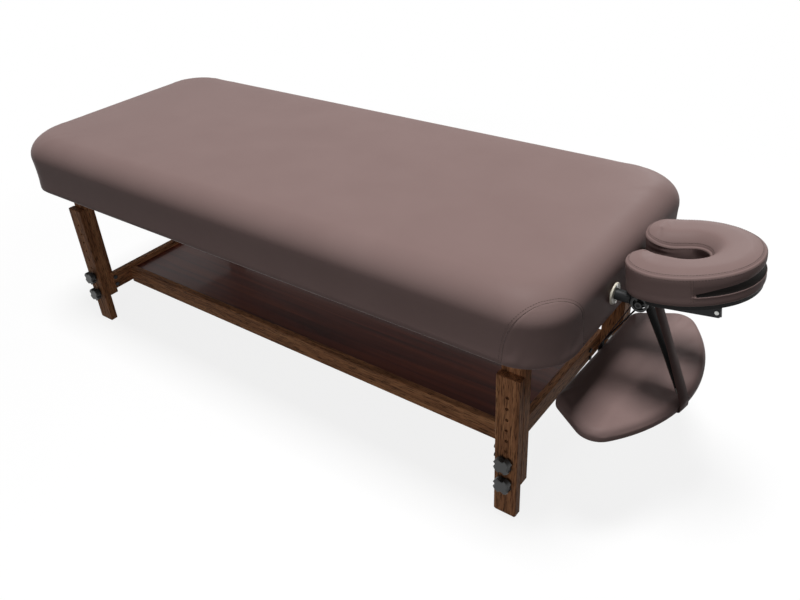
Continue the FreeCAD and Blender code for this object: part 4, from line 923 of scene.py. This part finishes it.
armPad = {
    "pivotX": 851 * mm,
    "shift": 8 * mm,
    "yaw": -1.8,
    "front": 117 * mm,
    "rear": -133 * mm,
    "corner": (-17 * mm, 218 * mm),
    "cornerRadius": 55 * mm,
    "rearY": 190 * mm,
    "rearRadius": 36 * mm,
    "low": 284 * mm,
    "foot": 296.3 * mm,
    "footInset": 1.6 * mm,
    "rimMm": ((1.6, 0.6), (1.2, 0), (0.7, 0.3), (0.4, 4), (0.8, 11)),  # inset and height over the low edge
    "thick": 18 * mm,
    "roll": 17 * mm,
    "rollInset": 1 * mm,
    "rollSteps": 6,
    "crown": 1.5 * mm,  # pressure adds the rest
    "crownMm": (22, 30, 40, 50, 62, 74, 86, 98, 108, 116),
    "parallel": 26 * mm,  # further in, the rows shrink towards the middle
    "shrinkRun": 100 * mm,
    "middle": (-15 * mm, 0.0),
    "step": 8 * mm,
    "pressure": 3.0,
    "cap": 2.0 * mm,
    "dent": 2.6 * mm,
    "dentAt": ((101 * mm, -58 * mm), (-121 * mm, 42 * mm)),
    "dentSpread": (30 * mm, 42 * mm),
}


def shelfArcs(look):
    corner, rear = look["corner"], (look["rear"] + look["rearRadius"], look["rearY"])
    reach = look["front"] - corner[0]
    bowRadius = reach ** 2 + corner[1] ** 2 - look["cornerRadius"] ** 2
    bowRadius /= 2 * (reach - look["cornerRadius"])
    bow = (look["front"] - bowRadius, 0.0)
    bowTurn = bearing(bow, corner)
    lean = math.degrees(math.acos((look["cornerRadius"] - look["rearRadius"]) / math.dist(corner, rear)))
    flankTurn = (bearing(corner, rear) - lean) % 360
    return mirrorArcs([(bow, bowRadius, 1, 0, bowTurn), (corner, look["cornerRadius"], 1, bowTurn, flankTurn),
                       (rear, look["rearRadius"], 1, flankTurn, 180)])


shelfBase, shelfSlope = arcStations(shelfArcs(armPad), armPad["step"])
count = len(shelfBase)
low, foot, thick, roll = armPad["low"], armPad["foot"], armPad["thick"], armPad["roll"]
shelfRows = [(armPad["footInset"], foot)]
shelfRows.extend((inset * mm, low + rise * mm) for inset, rise in armPad["rimMm"])
heldRows = len(shelfRows) + 1
for k in range(armPad["rollSteps"] + 1):
    angle = math.radians(90 * k / armPad["rollSteps"])
    inset = armPad["rollInset"] + roll * (1 - math.cos(angle))
    shelfRows.append((inset, foot + thick - roll + roll * math.sin(angle)))
crownInset = armPad["rollInset"] + roll
for insetMm in armPad["crownMm"]:
    share = (insetMm * mm - crownInset) / (armPad["crownMm"][-1] * mm - crownInset)
    shelfRows.append((insetMm * mm, foot + thick + armPad["crown"] * math.sin(math.pi / 2 * share)))
middle = np.array(armPad["middle"])
points = []
for inset, height in shelfRows:
    ring = shelfBase + min(inset, armPad["parallel"]) * shelfSlope
    if inset > armPad["parallel"]:
        ring = middle + (ring - middle) * (1 - (inset - armPad["parallel"]) / armPad["shrinkRun"])
    points.extend((x, y, height) for x, y in ring)
pad = meshPiece("armShelfPad", points, skinRings(len(shelfRows), count), vinyl)
faceOutward(pad, bmesh.ops.poke)
held = np.zeros(len(pad.data.vertices))
held[:heldRows * count] = 1.0
puff(pad, held, armPad["pressure"], armPad["cap"])
# the straps pull the padding down where they go over its edge
shape = pointsOf(pad.data)
spreadX, spreadY = armPad["dentSpread"]
for x, y in armPad["dentAt"]:
    near = np.exp(-((shape[:, 0] - x) / spreadX) ** 2 - ((shape[:, 1] - y) / spreadY) ** 2)
    shape[:, 2] -= armPad["dent"] * near * np.clip((shape[:, 2] - foot) / thick, 0, 1)
setPoints(pad.data, shape)
shelfTurn = Matrix.Rotation(math.radians(armPad["yaw"]), 4, "Z")
pad.data.transform(Matrix.Translation((armPad["pivotX"], armPad["shift"], 0)) @ shelfTurn)
subdivide(pad)
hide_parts("arm_pad")
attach(pad, "arm_shelf")
print("arm shelf pad made,", len(pad.data.vertices), "points")

# Straps: vinyl faced outside, black webbing inside, sewn into a loop round the cross tube

strap = {
    "wide": 36 * mm,
    "thick": 2.8 * mm,
    "innerEdge": ((0.8 * mm, 0.1 * mm), (0.0, 0.8 * mm)),  # in from the edge, off the inner face
    "outerEdge": ((0.0, 0.9 * mm), (1.0 * mm, 0.2 * mm)),  # in from the edge, off the outer face
    "offset": 54 * mm,
    "bow": 2.6 * mm,
    "follow": 0.18,  # how much the front strap turns to lie along the bowed edge
    "followFrom": 430 * mm,
    "followRun": 125 * mm,
    "barRadius": 11.3 * mm,
    "barHeight": 560 * mm,
    "barSteps": 14,
    "edgeGap": 0.8 * mm,
    "shoulder": 305 * mm,
    "shoulderEase": 4 * mm,
    "low": 283.7 * mm,
    "tail": (40 * mm, 20 * mm),
    "seam": 30 * mm,
    "bend": 3 * mm,
    "bendSteps": 4,
    "riseShares": (0.04, 0.12, 0.3, 0.5, 0.7, 0.9),
    "returnShares": (0.15, 0.35, 0.6, 0.85, 1.0),
}
barAxis = np.array((0.0, strap["barHeight"]))


def touchBar(spot, hand):
    away = spot - barAxis
    return math.atan2(away[1], away[0]) + hand * math.acos(strap["barRadius"] / np.linalg.norm(away))


def onBar(angle):
    return barAxis + strap["barRadius"] * np.array((math.cos(angle), math.sin(angle)))


def strapLine(edge):
    # the inner face of a strap on the +X side: tail, under the edge, up to the bar, over it, back to the seam
    out = edge + strap["edgeGap"]
    low, bend = strap["low"], strap["bend"]
    shoulder = np.array((out, strap["shoulder"]))
    frontAngle = touchBar(shoulder, 1)
    front = onBar(frontAngle)
    up = (front - shoulder) / np.linalg.norm(front - shoulder)
    seam = shoulder + up * strap["seam"]
    rearAngle = touchBar(seam, -1) % (2 * math.pi)
    rear = onBar(rearAngle)
    line = [np.array((out - back, low)) for back in strap["tail"]]
    for k in range(strap["bendSteps"] + 1):
        angle = math.radians(-90 + 90 * k / strap["bendSteps"])
        line.append(np.array((out - bend + bend * math.cos(angle), low + bend + bend * math.sin(angle))))
    line.append(np.array((out, strap["shoulder"] - strap["shoulderEase"])))
    line.append(shoulder)
    line.extend(shoulder + (front - shoulder) * share for share in strap["riseShares"])
    for k in range(strap["barSteps"] + 1):
        line.append(onBar(frontAngle + (rearAngle - frontAngle) * k / strap["barSteps"]))
    line.extend(rear + (seam - rear) * share for share in strap["returnShares"])
    return np.array(line)


def strapBand(name, toward, edge, follow):
    line = strapLine(edge)
    run = np.gradient(line, axis=0)
    run /= np.linalg.norm(run, axis=1)[:, None]
    normal = np.stack([run[:, 1], -run[:, 0]], 1)
    wide, thick = strap["wide"] / 2, strap["thick"]
    inner = [(wide - back, lift) for back, lift in strap["innerEdge"]]
    outer = [(wide - back, thick - lift) for back, lift in strap["outerEdge"]]
    section = [(-x, lift) for x, lift in reversed(inner)] + [(0.0, 0.0)] + inner
    innerFaces = len(section) - 1
    section += outer + [(0.0, thick)] + [(-x, lift) for x, lift in reversed(outer)]
    around = len(section)
    points = []
    for spot, out in zip(line, normal):
        for across, lift in section:
            flat = spot + out * lift
            drop = max(0.0, min(1.0, (strap["followFrom"] - flat[1]) / strap["followRun"]))
            turn = follow * drop * (wide - across)
            x = armPad["pivotX"] + toward * (flat[0] - turn)
            points.append((x, toward * (across - strap["offset"]), flat[1]))
    faces = skinRings(len(line), around)
    band = meshPiece(name, points, faces, strapVinylPaintedShade, finish["polypropyleneWebbing"])
    for index, face in enumerate(band.data.polygons):
        if index < (len(line) - 1) * around and index % around < innerFaces:
            face.material_index = 1
    faceOutward(band)
    return band


for name, node, toward, edge, follow in (
        ("frontStrap", "strap_front", 1, armPad["front"] - strap["bow"], strap["follow"]),
        ("rearStrap", "strap_rear", -1, -armPad["rear"], 0.0)):
    band = strapBand(name, toward, edge, follow)
    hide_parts(node)
    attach(band, "arm_shelf")
print("straps made")

# Studio: white sweep that keeps a pale shadow, soft lights overhead and behind, and a low fill in front

studio = {
    "floor": "f6f6f6",
    "floorBounce": "1e1e1e",  # what the floor sends back up at the table, as over a darker studio floor
    "floorNear": 0.85,  # how far the floor shows as plain white, near the table and past its shadow
    "floorFar": 1.0,
    "floorSize": 40,
    "floorParts": 8,
    "floorHeight": -0.5 * mm,
    "shadowReach": (1.3, 2.4),
    "worldFill": 0.02,
    # watts, size, place and aim
    "lamps": {
        "overheadSoftbox": (505.0, (2.0, 2.0), (0.45, -0.45, 7.0), (0.45, -0.45, 0.0)),
        "backSoftbox": (17.0, (0.9, 1.0), (0.4, 2.6, 1.7), (0.9, 0.0, 0.3)),
        "lowFill": (12.0, (1.0, 1.0), (0.85, -2.7, 1.15), (0.75, 0.0, 0.3)),
    },
}


def whiteWhenSeen(tree):
    # 1 for camera, mirror and glass rays, 0 for the rays that light the object
    light = addNode(tree, "ShaderNodeLightPath").outputs
    seen = light["Is Camera Ray"]
    for kind in ("Is Glossy Ray", "Is Transmission Ray"):
        either = addNode(tree, "ShaderNodeMath", links={0: seen, 1: light[kind]}, operation="MAXIMUM")
        seen = either.outputs[0]
    return seen


bpy.ops.mesh.primitive_grid_add(x_subdivisions=studio["floorParts"], y_subdivisions=studio["floorParts"],
                                size=studio["floorSize"], location=(0, 0, studio["floorHeight"]))
floor = bpy.context.object
floor.name = "studioFloor"
floorPaint, tree, shader, place = startMaterial("paintedStudioFloor", Roughness=0.9)
seen = whiteWhenSeen(tree)
paint = addNode(tree, "ShaderNodeMix", {
    mixA: hexLinear(studio["floorBounce"]), mixB: hexLinear(studio["floor"])}, {0: seen}, data_type="RGBA")
tree.links.new(paint.outputs[mixResult], shader.inputs["Base Color"])
reach = addNode(tree, "ShaderNodeVectorMath", links={0: place}, operation="LENGTH")
shadowStart, shadowEnd = studio["shadowReach"]
white = addNode(tree, "ShaderNodeMapRange",
                {"From Min": shadowStart, "From Max": shadowEnd,
                 "To Min": studio["floorNear"], "To Max": studio["floorFar"]},
                {"Value": reach.outputs["Value"]}, interpolation_type="SMOOTHSTEP")
share = addNode(tree, "ShaderNodeMath", links={0: seen, 1: white.outputs["Result"]}, operation="MULTIPLY")
glow = addNode(tree, "ShaderNodeEmission", {"Color": (1, 1, 1, 1), "Strength": 1.0})
blend = addNode(tree, "ShaderNodeMixShader", links={0: share.outputs[0], 1: shader.outputs["BSDF"],
                                                    2: glow.outputs["Emission"]})
output = next(n for n in tree.nodes if n.type == "OUTPUT_MATERIAL")
tree.links.new(blend.outputs["Shader"], output.inputs["Surface"])
floor.data.materials.append(floorPaint)

world = bpy.data.worlds.new("studioWorld")
scene.world = world
world.use_nodes = True
tree = world.node_tree
tree.nodes.clear()
level = addNode(tree, "ShaderNodeMapRange", {"To Min": studio["worldFill"], "To Max": 1.0},
                {"Value": whiteWhenSeen(tree)})
sky = addNode(tree, "ShaderNodeBackground", {"Color": (1, 1, 1, 1)}, {"Strength": level.outputs["Result"]})
addNode(tree, "ShaderNodeOutputWorld", links={"Surface": sky.outputs["Background"]})

for name, (watts, size, place, aim) in studio["lamps"].items():
    lampData = bpy.data.lights.new(name, "AREA")
    lampData.shape = "RECTANGLE"
    lampData.size, lampData.size_y = size
    lampData.energy = watts
    lamp = bpy.data.objects.new(name, lampData)
    lamp.location = place
    lamp.rotation_euler = (Vector(aim) - lamp.location).to_track_quat("-Z", "Y").to_euler()
    scene.collection.objects.link(lamp)
scene.view_settings.view_transform = "Standard"
print("studio lit")
